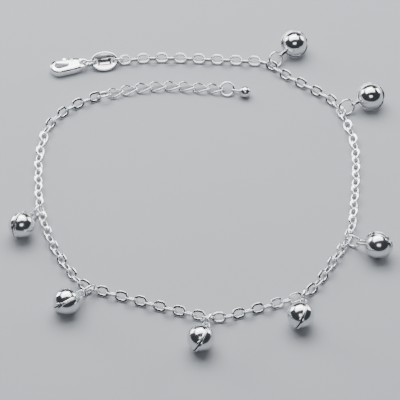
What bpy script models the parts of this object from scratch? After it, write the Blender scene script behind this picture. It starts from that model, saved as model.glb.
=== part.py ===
"""Silver bell anklet, lying open on the surface it was laid on.

An oval-link chain carries seven clam-shell jingle bells on jump rings. One end has a plain oval tag and a
lobster clasp, and the other an extender of twisted links with a ball drop. Sizes are in millimetres and are
turned into metres as each mesh is made. X runs to the right and Y away from the viewer.
"""

import math

import bmesh
import bpy
from mathutils import Matrix, Vector

MM = 0.001

# Chain of flat oval links. The strip is flat, so its section has four faces.
LINK_LENGTH = 3.0
LINK_WIDTH = 2.3
LINK_STRIP = 0.5
LINK_THICKNESS = 0.33
LINK_SIDES = 10
LINK_ROLL = math.radians(45)
WELD_DEPTH = 0.05

# Extender of twisted teardrop links, round at one end and narrow at the other
EXTENDER_COUNT = 8
EXTENDER_LENGTH = 4.1
EXTENDER_ROUND_WIDTH = 2.6
EXTENDER_NARROW_WIDTH = 2.1
EXTENDER_WIRE = 0.5
EXTENDER_SIDES = 10

# Jump rings
WIRE_SIDES = 5
RING_SIDES = 10
RING_WIRE = 0.5
BELL_RING_DIAMETER = 3.8
END_RING_DIAMETER = 3.5
TAG_RING_DIAMETER = 2.6
CLASP_RING_DIAMETER = 3.1
RING_CLEARANCE = 0.14
BAIL_CLEARANCE = 0.28
END_RING_CLEARANCE = 0.28
END_RING_ROLL = math.radians(30)

# Bells
BELL_RADIUS = 2.75
BELL_WALL = 0.35
BELL_SIDES = 12
FLANGE_REACH = 0.4
FLANGE_THICKNESS = 0.44
MOUTH_GAP = 0.5
MOUTH_DEPTH = 1.7
MOUTH_WIDTH = 3.6
LIP_WIDTH = 2.4
LIP_REACH = 0.55
LIP_THICKNESS = 0.36
BAIL_WIDTH = 0.65
BAIL_STRIP = 0.28
BAIL_GAP = 1.05
BAIL_REACH = 2.1
BAIL_ROOT = 0.5
PELLET_DIAMETER = 2.0
PELLET_REST = 0.42
PELLET_SIDES = 10

# Oval tag
TAG_LENGTH = 6.1
TAG_WIDTH = 4.3
TAG_THICKNESS = 0.7
TAG_RIM = 0.4
TAG_RIM_HEIGHT = 0.18
TAG_SIDES = 16
TAG_HOLE_DIAMETER = 1.15
TAG_HOLE_INSET = 1.05
TAG_PANEL_LENGTH = 2.1
TAG_PANEL_WIDTH = 1.2
TAG_PANEL_DEPTH = 0.16
TAG_TILT = math.radians(28)

# Lobster clasp, drawn from its tail eye at -X to its hook at +X, with the lever on its +Y side, and then mirrored
CLASP_THICKNESS = 1.9
CLASP_HOOK_RADIUS = 2.05
CLASP_BELLY_RADIUS = 1.8
CLASP_BELLY_PLACE = -0.4
CLASP_TAIL_RADIUS = 1.2
CLASP_SPAN = 5.4
CLASP_EDGE = 0.3
CLASP_SIDES = 20
HOOK_WALL = 1.05
HOOK_HOLE_SPAN = 1.35
HOOK_HOLE_NARROW = 1.5
EYE_HOLE_DIAMETER = 1.5
EYE_THICKNESS = 0.8
EYE_RISE = 0.3
EYE_LENGTH = 2.1
EYE_INSET = 1.15
GATE_LENGTH = 2.7
GATE_DEPTH = 0.45
LEVER_THICKNESS = 0.8
LEVER_TIP_WIDTH = 0.62
LEVER_BOSS_DIAMETER = 1.15
LEVER_GAP = 0.12
LEVER_OPENING = math.radians(22)
PIVOT_BACK = 0.9
PIVOT_SIDE = 0.95
TIP_SIDE = 1.45
PIN_DIAMETER = 0.6
PIN_CLEARANCE = 0.07
PIN_SIDES = 12
NUB_FORWARD = 1.5
NUB_REACH = 1.0
NUB_WIDTH = 0.75
NUB_THICKNESS = 1.1
CLASP_TURN = math.radians(192)
CLASP_RING_TURN = math.radians(186)
UPRIGHT_RING_ROLL = math.radians(-62)

# Ball drop
BALL_DIAMETER = 2.5
BALL_SIDES = 10
DROP_EYE_LENGTH = 2.7
DROP_EYE_WIDTH = 1.65
DROP_WIRE = 0.36
DROP_SINK = 0.5
DROP_ROLL = math.radians(50)

# The loop round the ankle
LOOP_WIDTH = 67.3
LOOP_DEPTH = 71.9

# Where the chain lies, from the tag round the ankle to the extender's far end, chosen by eye. It is stretched to
# the loop's width and depth.
ROUTE = [
    (-16.6, 36.9), (-11.3, 37.5), (-5.0, 37.5), (3.0, 37.1), (9.5, 36.7), (14.6, 36.0),
    (19.0, 32.2), (24.4, 28.3), (29.0, 24.4), (31.4, 19.0), (33.0, 12.5), (33.1, 5.0),
    (32.4, -3.5), (31.2, -12.2), (28.0, -18.9), (22.4, -27.6), (16.0, -30.6), (10.0, -32.6),
    (3.4, -34.4), (-4.0, -32.8), (-11.0, -30.6), (-18.0, -28.3), (-24.0, -25.8), (-28.4, -19.6),
    (-31.2, -13.6), (-33.5, -5.2), (-34.2, 3.0), (-34.2, 9.5), (-32.8, 16.9), (-29.0, 22.0),
    (-23.8, 25.4), (-18.7, 27.2), (-12.6, 28.7), (-6.2, 29.2), (0.4, 28.6), (6.0, 28.1), (10.5, 26.6),
]
ROUTE_EXTENDER_START = 30

# Bells: name, about where on the chain they hang, the way they lie from it, and in degrees how far the ring
# leans along the chain and how far the bell is twisted about its bail
BELLS = [
    ("1", (15.8, 35.2), (6.0, 4.3), -30, -23),
    ("2", (30.6, 21.4), (6.5, 1.9), -28, -23),
    ("3", (-21.7, -27.1), (-5.7, -4.4), -15, -22),
    ("4", (1.8, -34.3), (-2.2, -6.6), -16, -8),
    ("5", (21.3, -28.5), (-1.1, -6.9), 0, -22),
    ("6", (30.2, -14.9), (6.6, -2.5), 0, -22),
    ("7", (-33.3, -6.2), (-4.1, -5.9), -9, 22),
]

SILVER = {
    "chain": ((0.83, 0.83, 0.84, 1.0), 0.16),
    "bells": ((0.86, 0.86, 0.87, 1.0), 0.08),
    "rings": ((0.80, 0.80, 0.81, 1.0), 0.14),
    "clasp": ((0.82, 0.82, 0.83, 1.0), 0.12),
    "tag": ((0.78, 0.78, 0.79, 1.0), 0.18),
    "pellet": ((0.45, 0.45, 0.46, 1.0), 0.35),
}


def clear_scene():
    """Empties the scene that the script is run in."""
    for obj in list(bpy.data.objects):
        bpy.data.objects.remove(obj, do_unlink=True)


def silver(kind):
    """One polished metal for each kind of sub-part."""
    name = f"silver_{kind}"
    if name in bpy.data.materials:
        return bpy.data.materials[name]
    colour, roughness = SILVER[kind]
    material = bpy.data.materials.new(name)
    material.use_nodes = True
    shader = material.node_tree.nodes["Principled BSDF"]
    shader.inputs["Base Color"].default_value = colour
    shader.inputs["Metallic"].default_value = 1.0
    shader.inputs["Roughness"].default_value = roughness
    material.diffuse_color = colour
    return material


def loop_outline(gap, left_radius, right_radius, sides, offset=0.0):
    """The outline round two circles `gap` apart along X, moved outwards by `offset`."""
    if gap == 0:
        turns = [2 * math.pi * i / sides for i in range(sides)]
        reach = left_radius + offset
        return [(reach * math.cos(a), reach * math.sin(a)) for a in turns]
    contact = math.acos((left_radius - right_radius) / gap)
    half = sides // 2
    points = []
    for i in range(half):
        angle = -contact + 2 * contact * i / (half - 1)
        reach = right_radius + offset
        points.append((gap / 2 + reach * math.cos(angle), reach * math.sin(angle)))
    for i in range(half):
        angle = contact + 2 * (math.pi - contact) * i / (half - 1)
        reach = left_radius + offset
        points.append((-gap / 2 + reach * math.cos(angle), reach * math.sin(angle)))
    return points


def link_outline(gap, left_radius, right_radius, sides, offset=0.0):
    """The outline of an oval or teardrop link with blunt ends and a corner in the middle of each side."""
    if gap == 0:
        return loop_outline(gap, left_radius, right_radius, sides, offset)
    contact = math.acos((left_radius - right_radius) / gap)
    count = sides // 2 - 1
    ends = []
    for centre, radius, facing, spread in (
        (gap / 2, right_radius + offset, 0.0, contact),
        (-gap / 2, left_radius + offset, math.pi, math.pi - contact),
    ):
        reach = radius / math.cos(spread / (count + 1))
        turns = [facing + spread * (2 * k + 1 - count) / (count + 1) for k in range(count)]
        ends.append([(centre + reach * math.cos(a), reach * math.sin(a)) for a in turns])
    middle = (left_radius + right_radius) / 2 + offset
    x, y = middle * math.cos(contact), middle * math.sin(contact)
    return ends[0] + [(x, y)] + ends[1] + [(x, -y)]


def add_faces(mesh, rings, closed_section):
    """Skins consecutive rings of vertices, joining the last to the first on a closed section."""
    pairs = list(zip(rings, rings[1:]))
    if closed_section:
        pairs.append((rings[-1], rings[0]))
    for lower, upper in pairs:
        for i in range(len(lower)):
            j = (i + 1) % len(lower)
            mesh.faces.new((lower[i], lower[j], upper[j], upper[i]))


def add_loop(mesh, gap, left_radius, right_radius, section, sides, place=None, twist=0.0, length=1.0):
    """Adds a closed loop whose section is a list of (outward, upward) corners round its centre line."""
    rings = []
    for outward, upward in section:
        ring = []
        for x, y in link_outline(gap, left_radius, right_radius, sides, outward):
            point = Vector((x, y, upward))
            point = Matrix.Rotation(twist * x / length, 3, "X") @ point
            ring.append(mesh.verts.new(place @ point if place else point))
        rings.append(ring)
    add_faces(mesh, rings, True)


def strip_section(strip, thickness):
    """Corners of a flat strip, counterclockwise."""
    half, rise = strip / 2, thickness / 2
    return [(-half, -rise), (half, -rise), (half, rise), (-half, rise)]


def wire_section(wire, sides):
    """Corners of a round wire of few sides."""
    turns = [2 * math.pi * (i + 0.5) / sides for i in range(sides)]
    return [(wire / 2 * math.cos(a), wire / 2 * math.sin(a)) for a in turns]


def new_mesh(name, mesh):
    """Turns a bmesh in millimetres into a mesh in metres with its faces out."""
    bmesh.ops.recalc_face_normals(mesh, faces=mesh.faces)
    bmesh.ops.scale(mesh, vec=(MM, MM, MM), verts=mesh.verts)
    data = bpy.data.meshes.new(name)
    mesh.to_mesh(data)
    mesh.free()
    return data


def new_object(name, data, kind, matrix=None):
    """A named object of one mesh, its matrix given in millimetres."""
    obj = bpy.data.objects.new(name, data)
    bpy.context.scene.collection.objects.link(obj)
    if not data.materials:
        data.materials.append(silver(kind))
    data.shade_smooth()
    data.set_sharp_from_angle(angle=math.radians(32))
    if matrix:
        placed = matrix.copy()
        placed.translation = placed.translation * MM
        obj.matrix_world = placed
    return obj


def boolean_mesh(name, base, steps):
    """The mesh left when the (operation, mesh) steps are done to a base mesh in order."""
    body = bpy.data.objects.new(name, base)
    bpy.context.scene.collection.objects.link(body)
    tools = []
    for operation, data in steps:
        tool = bpy.data.objects.new(name + "_tool", data)
        bpy.context.scene.collection.objects.link(tool)
        tool.hide_render = True
        tool.display_type = "WIRE"
        modifier = body.modifiers.new(operation, "BOOLEAN")
        modifier.operation = operation
        modifier.solver = "EXACT"
        modifier.object = tool
        tools.append(tool)
    graph = bpy.context.evaluated_depsgraph_get()
    result = bpy.data.meshes.new_from_object(body.evaluated_get(graph))
    result.name = name
    for obj in [body] + tools:
        bpy.data.objects.remove(obj, do_unlink=True)
    return result


def box_mesh(low, high):
    """A box between two corners, in millimetres."""
    mesh = bmesh.new()
    centre = (Vector(low) + Vector(high)) / 2
    size = Vector(high) - Vector(low)
    bmesh.ops.create_cube(mesh, size=1.0, matrix=Matrix.Translation(centre) @ Matrix.Diagonal((*size, 1)))
    return new_mesh("box", mesh)


def cylinder_mesh(centre, radius, low, high, sides):
    """An upright cylinder, in millimetres."""
    mesh = bmesh.new()
    place = Matrix.Translation((centre[0], centre[1], (low + high) / 2))
    bmesh.ops.create_cone(
        mesh, cap_ends=True, segments=sides, radius1=radius, radius2=radius, depth=high - low, matrix=place
    )
    return new_mesh("cylinder", mesh)


def prism_mesh(outline, low, high):
    """An outline in X and Y extruded from one height to another, in millimetres."""
    mesh = bmesh.new()
    rings = [[mesh.verts.new((x, y, z)) for x, y in outline] for z in (low, high)]
    add_faces(mesh, rings, False)
    mesh.faces.new(rings[0])
    mesh.faces.new(rings[1])
    return new_mesh("prism", mesh)


def on_loop(spot):
    """A spot of ROUTE's drawing, moved with the loop's width and depth."""
    across, along = zip(*ROUTE)
    width, depth = max(across) - min(across), max(along) - min(along)
    return Vector((spot[0] * LOOP_WIDTH / width, spot[1] * LOOP_DEPTH / depth))


def smooth_route():
    """Points every 0.1 mm or so along a smooth curve through ROUTE, with each route point's index."""
    points = [on_loop(spot) for spot in ROUTE]
    before = points[0] * 2 - points[1]
    after = points[-1] * 2 - points[-2]
    padded = [before] + points + [after]
    fine, marks = [], []
    steps = 60
    for i in range(1, len(padded) - 2):
        p0, p1, p2, p3 = padded[i - 1 : i + 3]
        marks.append(len(fine))
        for k in range(steps):
            t = k / steps
            fine.append(
                0.5 * (2 * p1 + (p2 - p0) * t + (2 * p0 - 5 * p1 + 4 * p2 - p3) * t * t
                       + (3 * p1 - p0 - 3 * p2 + p3) * t ** 3)
            )
    marks.append(len(fine))
    fine.append(points[-1])
    return fine, marks


class Walker:
    """Steps along the route by straight distances."""

    def __init__(self):
        self.fine, self.marks = smooth_route()
        self.index = 0
        self.point = self.fine[0]

    def step(self, distance):
        """Moves on until the point is `distance` from the last one."""
        start = self.point
        while self.index + 1 < len(self.fine) and (self.fine[self.index + 1] - start).length < distance:
            self.index += 1
        if self.index + 1 < len(self.fine):
            near = self.fine[self.index]
            far = self.fine[self.index + 1]
            low = max((near - start).length, 0.0)
            high = (far - start).length
            share = (distance - low) / (high - low)
            self.point = near + (far - near) * share
        else:
            heading = (self.fine[-1] - self.fine[-2]).normalized()
            self.point = start + heading * distance
        return self.point


def plan_route():
    """Centres of every link and ring along the route, as (kind, point), in order."""
    half_link = LINK_LENGTH / 2 - LINK_STRIP
    half_extender = EXTENDER_LENGTH / 2 - EXTENDER_WIRE
    half_ring = END_RING_DIAMETER / 2 - RING_WIRE
    walker = Walker()
    plan = [("link", walker.point)]
    pitch = 2 * half_link + WELD_DEPTH
    to_ring = half_link + half_ring - RING_CLEARANCE
    room_left = walker.marks[ROUTE_EXTENDER_START]
    while walker.index < room_left:
        plan.append(("link", walker.step(pitch)))
    plan.append(("start_ring", walker.step(to_ring)))
    plan.append(("extender", walker.step(half_ring + half_extender - RING_CLEARANCE)))
    for _ in range(EXTENDER_COUNT - 1):
        plan.append(("extender", walker.step(2 * half_extender + WELD_DEPTH)))
    plan.append(("end_ring", walker.step(half_ring + half_extender - END_RING_CLEARANCE)))
    drop_half = DROP_EYE_LENGTH / 2 - DROP_WIRE
    plan.append(("drop", walker.step(half_ring + drop_half - END_RING_CLEARANCE)))
    return plan


def heading_at(plan, index):
    """The direction of the route at one place in the plan."""
    before = plan[max(index - 1, 0)][1]
    after = plan[min(index + 1, len(plan) - 1)][1]
    return (after - before).normalized()


def route_matrix(point, heading, height, roll):
    """Local X along the route, local Y across it, rolled about the route's direction."""
    along = Vector((heading.x, heading.y, 0))
    up = Vector((0, 0, 1))
    across = up.cross(along)
    turn = Matrix((along, across, up)).transposed().to_4x4()
    return Matrix.Translation((point.x, point.y, height)) @ turn @ Matrix.Rotation(roll, 4, "X")


def link_height():
    """Height of the chain's centre line when its rolled links rest on the floor."""
    half_width, half_thick = LINK_WIDTH / 2, LINK_THICKNESS / 2
    return half_width * math.sin(LINK_ROLL) + half_thick * math.cos(LINK_ROLL)


def ring_height(diameter, roll):
    """Height of a ring's centre when it leans at `roll` from lying flat."""
    return (diameter - RING_WIRE) / 2 * abs(math.sin(roll)) + RING_WIRE / 2


def fused_loops(name, loops):
    """One body out of loops that each bite into the next: the even ones joined to the odd ones."""
    halves = []
    for parity in (0, 1):
        mesh = bmesh.new()
        for add in loops[parity::2]:
            add(mesh)
        halves.append(new_mesh(name, mesh))
    return boolean_mesh(name, halves[0], [("UNION", halves[1])])


def link_roll(index):
    """Links lean to one side and the other in turn, from the tag's end."""
    return LINK_ROLL if index % 2 == 0 else -LINK_ROLL


def make_chain(plan):
    """The whole chain, one body of alternately rolled oval links, and each link's frame."""
    links = [i for i, (kind, _) in enumerate(plan) if kind == "link"]
    radius = (LINK_WIDTH - LINK_STRIP) / 2
    gap = LINK_LENGTH - LINK_WIDTH
    section = strip_section(LINK_STRIP, LINK_THICKNESS)
    frames, loops = [], []
    for i in links:
        roll = link_roll(i)
        frame = route_matrix(plan[i][1], heading_at(plan, i), link_height(), roll)
        frames.append(frame)
        loops.append(lambda mesh, place=frame: add_loop(mesh, gap, radius, radius, section, LINK_SIDES, place))
    new_object("chain", fused_loops("chain", loops), "chain")
    return frames


def lean_of_end(plan):
    """Which way the chain's last link leans, 1 or -1, which the extender's rings and links follow."""
    last = [i for i, (kind, _) in enumerate(plan) if kind == "link"][-1]
    return math.copysign(1.0, link_roll(last))


def make_extender(plan):
    """Eight twisted teardrop links in one body, each turned by a right angle from end to end."""
    twist = -2 * LINK_ROLL * lean_of_end(plan)
    left = (EXTENDER_ROUND_WIDTH - EXTENDER_WIRE) / 2
    right = (EXTENDER_NARROW_WIDTH - EXTENDER_WIRE) / 2
    gap = EXTENDER_LENGTH - EXTENDER_WIRE - left - right
    shift = Matrix.Translation(((right - left) / 2 * -1, 0, 0))
    section = wire_section(EXTENDER_WIRE, WIRE_SIDES)
    loops = []
    for i, (kind, point) in enumerate(plan):
        if kind != "extender":
            continue
        frame = route_matrix(point, heading_at(plan, i), 0.0, 0.0) @ shift
        loops.append(
            lambda mesh, place=frame: add_loop(
                mesh, gap, left, right, section, EXTENDER_SIDES, place, twist, EXTENDER_LENGTH - EXTENDER_WIRE
            )
        )
    data = fused_loops("extender_chain", loops)
    rise = -lowest(data, Matrix.Identity(4))
    new_object("extender_chain", data, "chain", Matrix.Translation((0, 0, rise)))


def ring_mesh(name, diameter):
    """A plain round jump ring in its own XY plane."""
    mesh = bmesh.new()
    radius = (diameter - RING_WIRE) / 2
    add_loop(mesh, 0, radius, radius, wire_section(RING_WIRE, WIRE_SIDES), RING_SIDES)
    return new_mesh(name, mesh)


def make_route_rings(plan):
    """The larger rings at both ends of the extender, leaning on their neighbours."""
    for i, (kind, point) in enumerate(plan):
        if kind not in ("start_ring", "end_ring"):
            continue
        roll = END_RING_ROLL * lean_of_end(plan) * (-1 if kind == "start_ring" else 1)
        height = ring_height(END_RING_DIAMETER, roll)
        frame = route_matrix(point, heading_at(plan, i), height, roll)
        name = "extender_" + kind
        new_object(name, ring_mesh(name, END_RING_DIAMETER), "rings", frame)


def make_drop(plan):
    """The ball drop: a solid ball with a long wire eye round the end ring."""
    index = len(plan) - 1
    heading = heading_at(plan, index)
    sag = ring_height(END_RING_DIAMETER, END_RING_ROLL) - BALL_DIAMETER / 2
    tilt = math.atan2(sag, DROP_EYE_LENGTH + BALL_DIAMETER / 2)
    frame = route_matrix(plan[index][1], heading, BALL_DIAMETER / 2, 0.0)
    frame = frame @ Matrix.Rotation(tilt, 4, "Y") @ Matrix.Rotation(-DROP_ROLL * lean_of_end(plan), 4, "X")
    reach = DROP_EYE_LENGTH / 2 + BALL_DIAMETER / 2 - DROP_SINK
    frame.translation.z = BALL_DIAMETER / 2 + reach * math.sin(tilt)
    mesh = bmesh.new()
    radius = (DROP_EYE_WIDTH - DROP_WIRE) / 2
    gap = DROP_EYE_LENGTH - DROP_EYE_WIDTH
    add_loop(mesh, gap, radius, radius, wire_section(DROP_WIRE, WIRE_SIDES), 8)
    eye = new_mesh("drop_eye", mesh)
    mesh = bmesh.new()
    bmesh.ops.create_uvsphere(
        mesh, u_segments=BALL_SIDES, v_segments=6, radius=BALL_DIAMETER / 2,
        matrix=Matrix.Translation((reach, 0, 0)) @ Matrix.Rotation(math.pi / 2, 4, "Y"),
    )
    ball = new_mesh("drop_ball", mesh)
    new_object("ball_drop", boolean_mesh("ball_drop", ball, [("UNION", eye)]), "bells", frame)


def bell_mesh():
    """A clam-shell bell: two cups with a flat flange at the seam, a folded bail at +X and a mouth at -X."""
    half_flange = FLANGE_THICKNESS / 2
    seam_radius = math.sqrt(BELL_RADIUS ** 2 - half_flange ** 2)
    upper = [(BELL_RADIUS * math.cos(a), BELL_RADIUS * math.sin(a)) for a in map(math.radians, (90, 61, 32))]
    upper[0] = (0.0, BELL_RADIUS)
    upper += [(seam_radius, half_flange), (BELL_RADIUS + FLANGE_REACH, half_flange)]
    profile = upper + [(x, -z) for x, z in reversed(upper)]
    mesh = bmesh.new()
    verts = [mesh.verts.new((x, 0, z)) for x, z in profile]
    edges = [mesh.edges.new(pair) for pair in zip(verts, verts[1:])]
    bmesh.ops.spin(
        mesh, geom=verts + edges, cent=(0, 0, 0), axis=(0, 0, 1), angle=2 * math.pi, steps=BELL_SIDES
    )
    bmesh.ops.remove_doubles(mesh, verts=mesh.verts, dist=0.001)
    shell = new_mesh("bell_shell", mesh)
    mesh = bmesh.new()
    bmesh.ops.create_uvsphere(mesh, u_segments=8, v_segments=4, radius=BELL_RADIUS - BELL_WALL)
    hollow = new_mesh("bell_hollow", mesh)
    lip_half = MOUTH_GAP / 2 + LIP_THICKNESS
    lips = box_mesh(
        (-BELL_RADIUS - LIP_REACH, -LIP_WIDTH / 2, -lip_half), (-BELL_RADIUS + BELL_WALL, LIP_WIDTH / 2, lip_half)
    )
    mouth = box_mesh(
        (-BELL_RADIUS - FLANGE_REACH - LIP_REACH, -MOUTH_WIDTH / 2, -MOUTH_GAP / 2),
        (-BELL_RADIUS + MOUTH_DEPTH, MOUTH_WIDTH / 2, MOUTH_GAP / 2),
    )
    mesh = bmesh.new()
    radius = (BAIL_GAP + BAIL_STRIP) / 2
    length = BAIL_REACH + BAIL_ROOT
    gap = length - 2 * radius - BAIL_STRIP
    place = Matrix.Translation((BELL_RADIUS - BAIL_ROOT + length / 2, 0, 0)) @ Matrix.Rotation(math.pi / 2, 4, "X")
    add_loop(mesh, gap, radius, radius, strip_section(BAIL_STRIP, BAIL_WIDTH), 8, place)
    bail = new_mesh("bell_bail", mesh)
    steps = [("UNION", bail), ("UNION", lips), ("DIFFERENCE", hollow), ("DIFFERENCE", mouth)]
    return boolean_mesh("bell", shell, steps)


def pellet_mesh():
    """The loose pellet that makes the bell ring."""
    mesh = bmesh.new()
    bmesh.ops.create_uvsphere(mesh, u_segments=PELLET_SIDES, v_segments=3, radius=PELLET_DIAMETER / 2)
    return new_mesh("pellet", mesh)


def lowest(data, matrix):
    """The lowest height, in millimetres, of a mesh turned by a matrix about its own origin."""
    turn = matrix.to_3x3()
    return min((turn @ vert.co).z for vert in data.vertices) / MM


def through_ring(point, heading, roll, diameter, side):
    """The frame of a ring resting on the floor whose wire passes through `point`, on its `side` along heading."""
    radius = (diameter - RING_WIRE) / 2
    height = ring_height(diameter, roll)
    rise = (point.z - height) / math.sin(roll)
    along = Vector((heading.x, heading.y, 0))
    across = Vector((0, 0, 1)).cross(along)
    centre = point - along * side * math.sqrt(radius ** 2 - rise ** 2) - across * rise * math.cos(roll)
    return route_matrix(centre, heading, height, roll)


def ring_point(frame, height, roll, diameter, side):
    """Where a leaning ring's wire is at one height, on its `side` along X."""
    radius = (diameter - RING_WIRE) / 2
    rise = (height - frame.translation.z) / math.sin(roll)
    return frame @ Vector((side * math.sqrt(radius ** 2 - rise ** 2), rise, 0))


def tag_mesh():
    """An oval plate with a raised rim, a sunk bare panel and a ring hole at each end."""
    radius = TAG_WIDTH / 2
    gap = TAG_LENGTH - TAG_WIDTH
    top = TAG_THICKNESS / 2
    mesh = bmesh.new()
    rings = []
    for offset, height in ((0, -top), (0, top), (-TAG_RIM, top), (-TAG_RIM, top - TAG_RIM_HEIGHT)):
        outline = loop_outline(gap, radius, radius, TAG_SIDES, offset)
        rings.append([mesh.verts.new((x, y, height)) for x, y in outline])
    add_faces(mesh, rings, False)
    mesh.faces.new(rings[0])
    mesh.faces.new(rings[-1])
    plate = new_mesh("tag_plate", mesh)
    floor = top - TAG_RIM_HEIGHT
    half_length, half_width = TAG_PANEL_LENGTH / 2, TAG_PANEL_WIDTH / 2
    panel = box_mesh(
        (-half_length, -half_width, floor - TAG_PANEL_DEPTH), (half_length, half_width, TAG_THICKNESS)
    )
    steps = [("DIFFERENCE", panel)]
    for side in (-1, 1):
        place = (side * (TAG_LENGTH / 2 - TAG_HOLE_INSET), 0)
        steps.append(
            ("DIFFERENCE", cylinder_mesh(place, TAG_HOLE_DIAMETER / 2, -TAG_THICKNESS, TAG_THICKNESS, RING_SIDES))
        )
    return boolean_mesh("tag", plate, steps)


def clasp_places():
    """Where the clasp's gate, pivot and lever tip are, in its own plane."""
    gate_end = CLASP_SPAN / 2 + (CLASP_HOOK_RADIUS - HOOK_WALL) * 0.68
    gate_start = gate_end - GATE_LENGTH
    pivot = Vector((gate_start - PIVOT_BACK, PIVOT_SIDE, 0))
    tip = Vector((gate_end - LEVER_GAP - LEVER_TIP_WIDTH / 2, TIP_SIDE, 0))
    return gate_start, gate_end, pivot, tip


def clasp_outline(offset):
    """The clasp's outline round its hook, belly and tail circles, moved outwards by `offset`."""
    half = CLASP_SPAN / 2
    circles = [(half, CLASP_HOOK_RADIUS), (CLASP_BELLY_PLACE, CLASP_BELLY_RADIUS), (-half, CLASP_TAIL_RADIUS)]
    front, rear = [
        math.acos((second[1] - first[1]) / (first[0] - second[0])) for first, second in zip(circles, circles[1:])
    ]
    end_steps = CLASP_SIDES // 2 - 2
    points = []
    for circle, start, end, steps in (
        (0, -front, front, end_steps), (1, front, rear, 2),
        (2, rear, 2 * math.pi - rear, end_steps), (1, 2 * math.pi - rear, 2 * math.pi - front, 2),
    ):
        centre, radius = circles[circle]
        for i in range(steps):
            angle = start + (end - start) * i / (steps - 1)
            points.append((centre + (radius + offset) * math.cos(angle), (radius + offset) * math.sin(angle)))
    return points


def clasp_body_mesh():
    """The clasp's flat body with its hook, gate, lever slot, pin hole and thinner tail eye."""
    mesh = bmesh.new()
    rings = []
    for offset, height in (
        (-CLASP_EDGE / 2, 0), (0, CLASP_EDGE), (0, CLASP_THICKNESS - CLASP_EDGE), (-CLASP_EDGE, CLASP_THICKNESS)
    ):
        rings.append([mesh.verts.new((x, y, height)) for x, y in clasp_outline(offset)])
    add_faces(mesh, rings, False)
    mesh.faces.new(rings[0])
    mesh.faces.new(rings[-1])
    blank = new_mesh("clasp_blank", mesh)
    under, over = -CLASP_THICKNESS, 2 * CLASP_THICKNESS
    gate_start, gate_end, pivot, _ = clasp_places()
    hole = loop_outline(
        HOOK_HOLE_SPAN, HOOK_HOLE_NARROW / 2, CLASP_HOOK_RADIUS - HOOK_WALL, 16
    )
    hole = [(x + (CLASP_SPAN - HOOK_HOLE_SPAN) / 2, y) for x, y in hole]
    middle = CLASP_THICKNESS / 2
    slot = LEVER_THICKNESS / 2 + LEVER_GAP
    swing = LEVER_BOSS_DIAMETER / 2 + LEVER_GAP
    room = PIVOT_SIDE - swing - PIVOT_BACK * math.sin(LEVER_OPENING)
    tail = -CLASP_SPAN / 2 - CLASP_TAIL_RADIUS
    eye = tail + EYE_INSET
    eye_low = middle + EYE_RISE - EYE_THICKNESS / 2
    eye_high = eye_low + EYE_THICKNESS
    wide = CLASP_HOOK_RADIUS * 2
    steps = [
        ("DIFFERENCE", prism_mesh(hole, under, over)),
        ("DIFFERENCE", box_mesh((gate_start, GATE_DEPTH, under), (gate_end, wide, over))),
        ("DIFFERENCE", box_mesh(
            (pivot.x - swing, room, middle - slot), (gate_start + LEVER_GAP, wide, middle + slot)
        )),
        ("DIFFERENCE", cylinder_mesh(pivot, PIN_DIAMETER / 2 + PIN_CLEARANCE, under, over, PIN_SIDES)),
        ("DIFFERENCE", cylinder_mesh((eye, 0), EYE_HOLE_DIAMETER / 2, under, over, RING_SIDES)),
        ("DIFFERENCE", box_mesh((tail + under, -wide, under), (tail + EYE_LENGTH, wide, eye_low))),
        ("DIFFERENCE", box_mesh((tail + under, -wide, eye_high), (tail + EYE_LENGTH, wide, over))),
    ]
    return boolean_mesh("clasp_body", blank, steps)


def lever_mesh():
    """The sprung lever with its boss, arm and thumb nub, drawn about its pivot."""
    _, _, pivot, tip = clasp_places()
    arm = tip - pivot
    turn = math.atan2(arm.y, arm.x)
    half = LEVER_THICKNESS / 2
    outline = loop_outline(arm.length, LEVER_BOSS_DIAMETER / 2, LEVER_TIP_WIDTH / 2, 16)
    outline = [(x + arm.length / 2, y) for x, y in outline]
    cosine, sine = math.cos(turn), math.sin(turn)
    outline = [(x * cosine - y * sine, x * sine + y * cosine) for x, y in outline]
    bar = prism_mesh(outline, -half, half)
    nub = loop_outline(NUB_REACH - NUB_WIDTH, NUB_WIDTH / 2, NUB_WIDTH / 2 * 1.15, 10)
    nub = [(NUB_FORWARD - y, x + (NUB_REACH + NUB_WIDTH) / 2) for x, y in nub]
    thumb = prism_mesh(nub, -NUB_THICKNESS / 2, NUB_THICKNESS / 2)
    bore = cylinder_mesh((0, 0), PIN_DIAMETER / 2 + PIN_CLEARANCE, -2 * half, 2 * half, PIN_SIDES)
    return boolean_mesh("clasp_lever", bar, [("UNION", thumb), ("DIFFERENCE", bore)])


def other_hand(data):
    """A mesh turned into its own mirror image across its length."""
    data.transform(Matrix.Diagonal((1, -1, 1, 1)))
    data.flip_normals()
    return data


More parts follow.
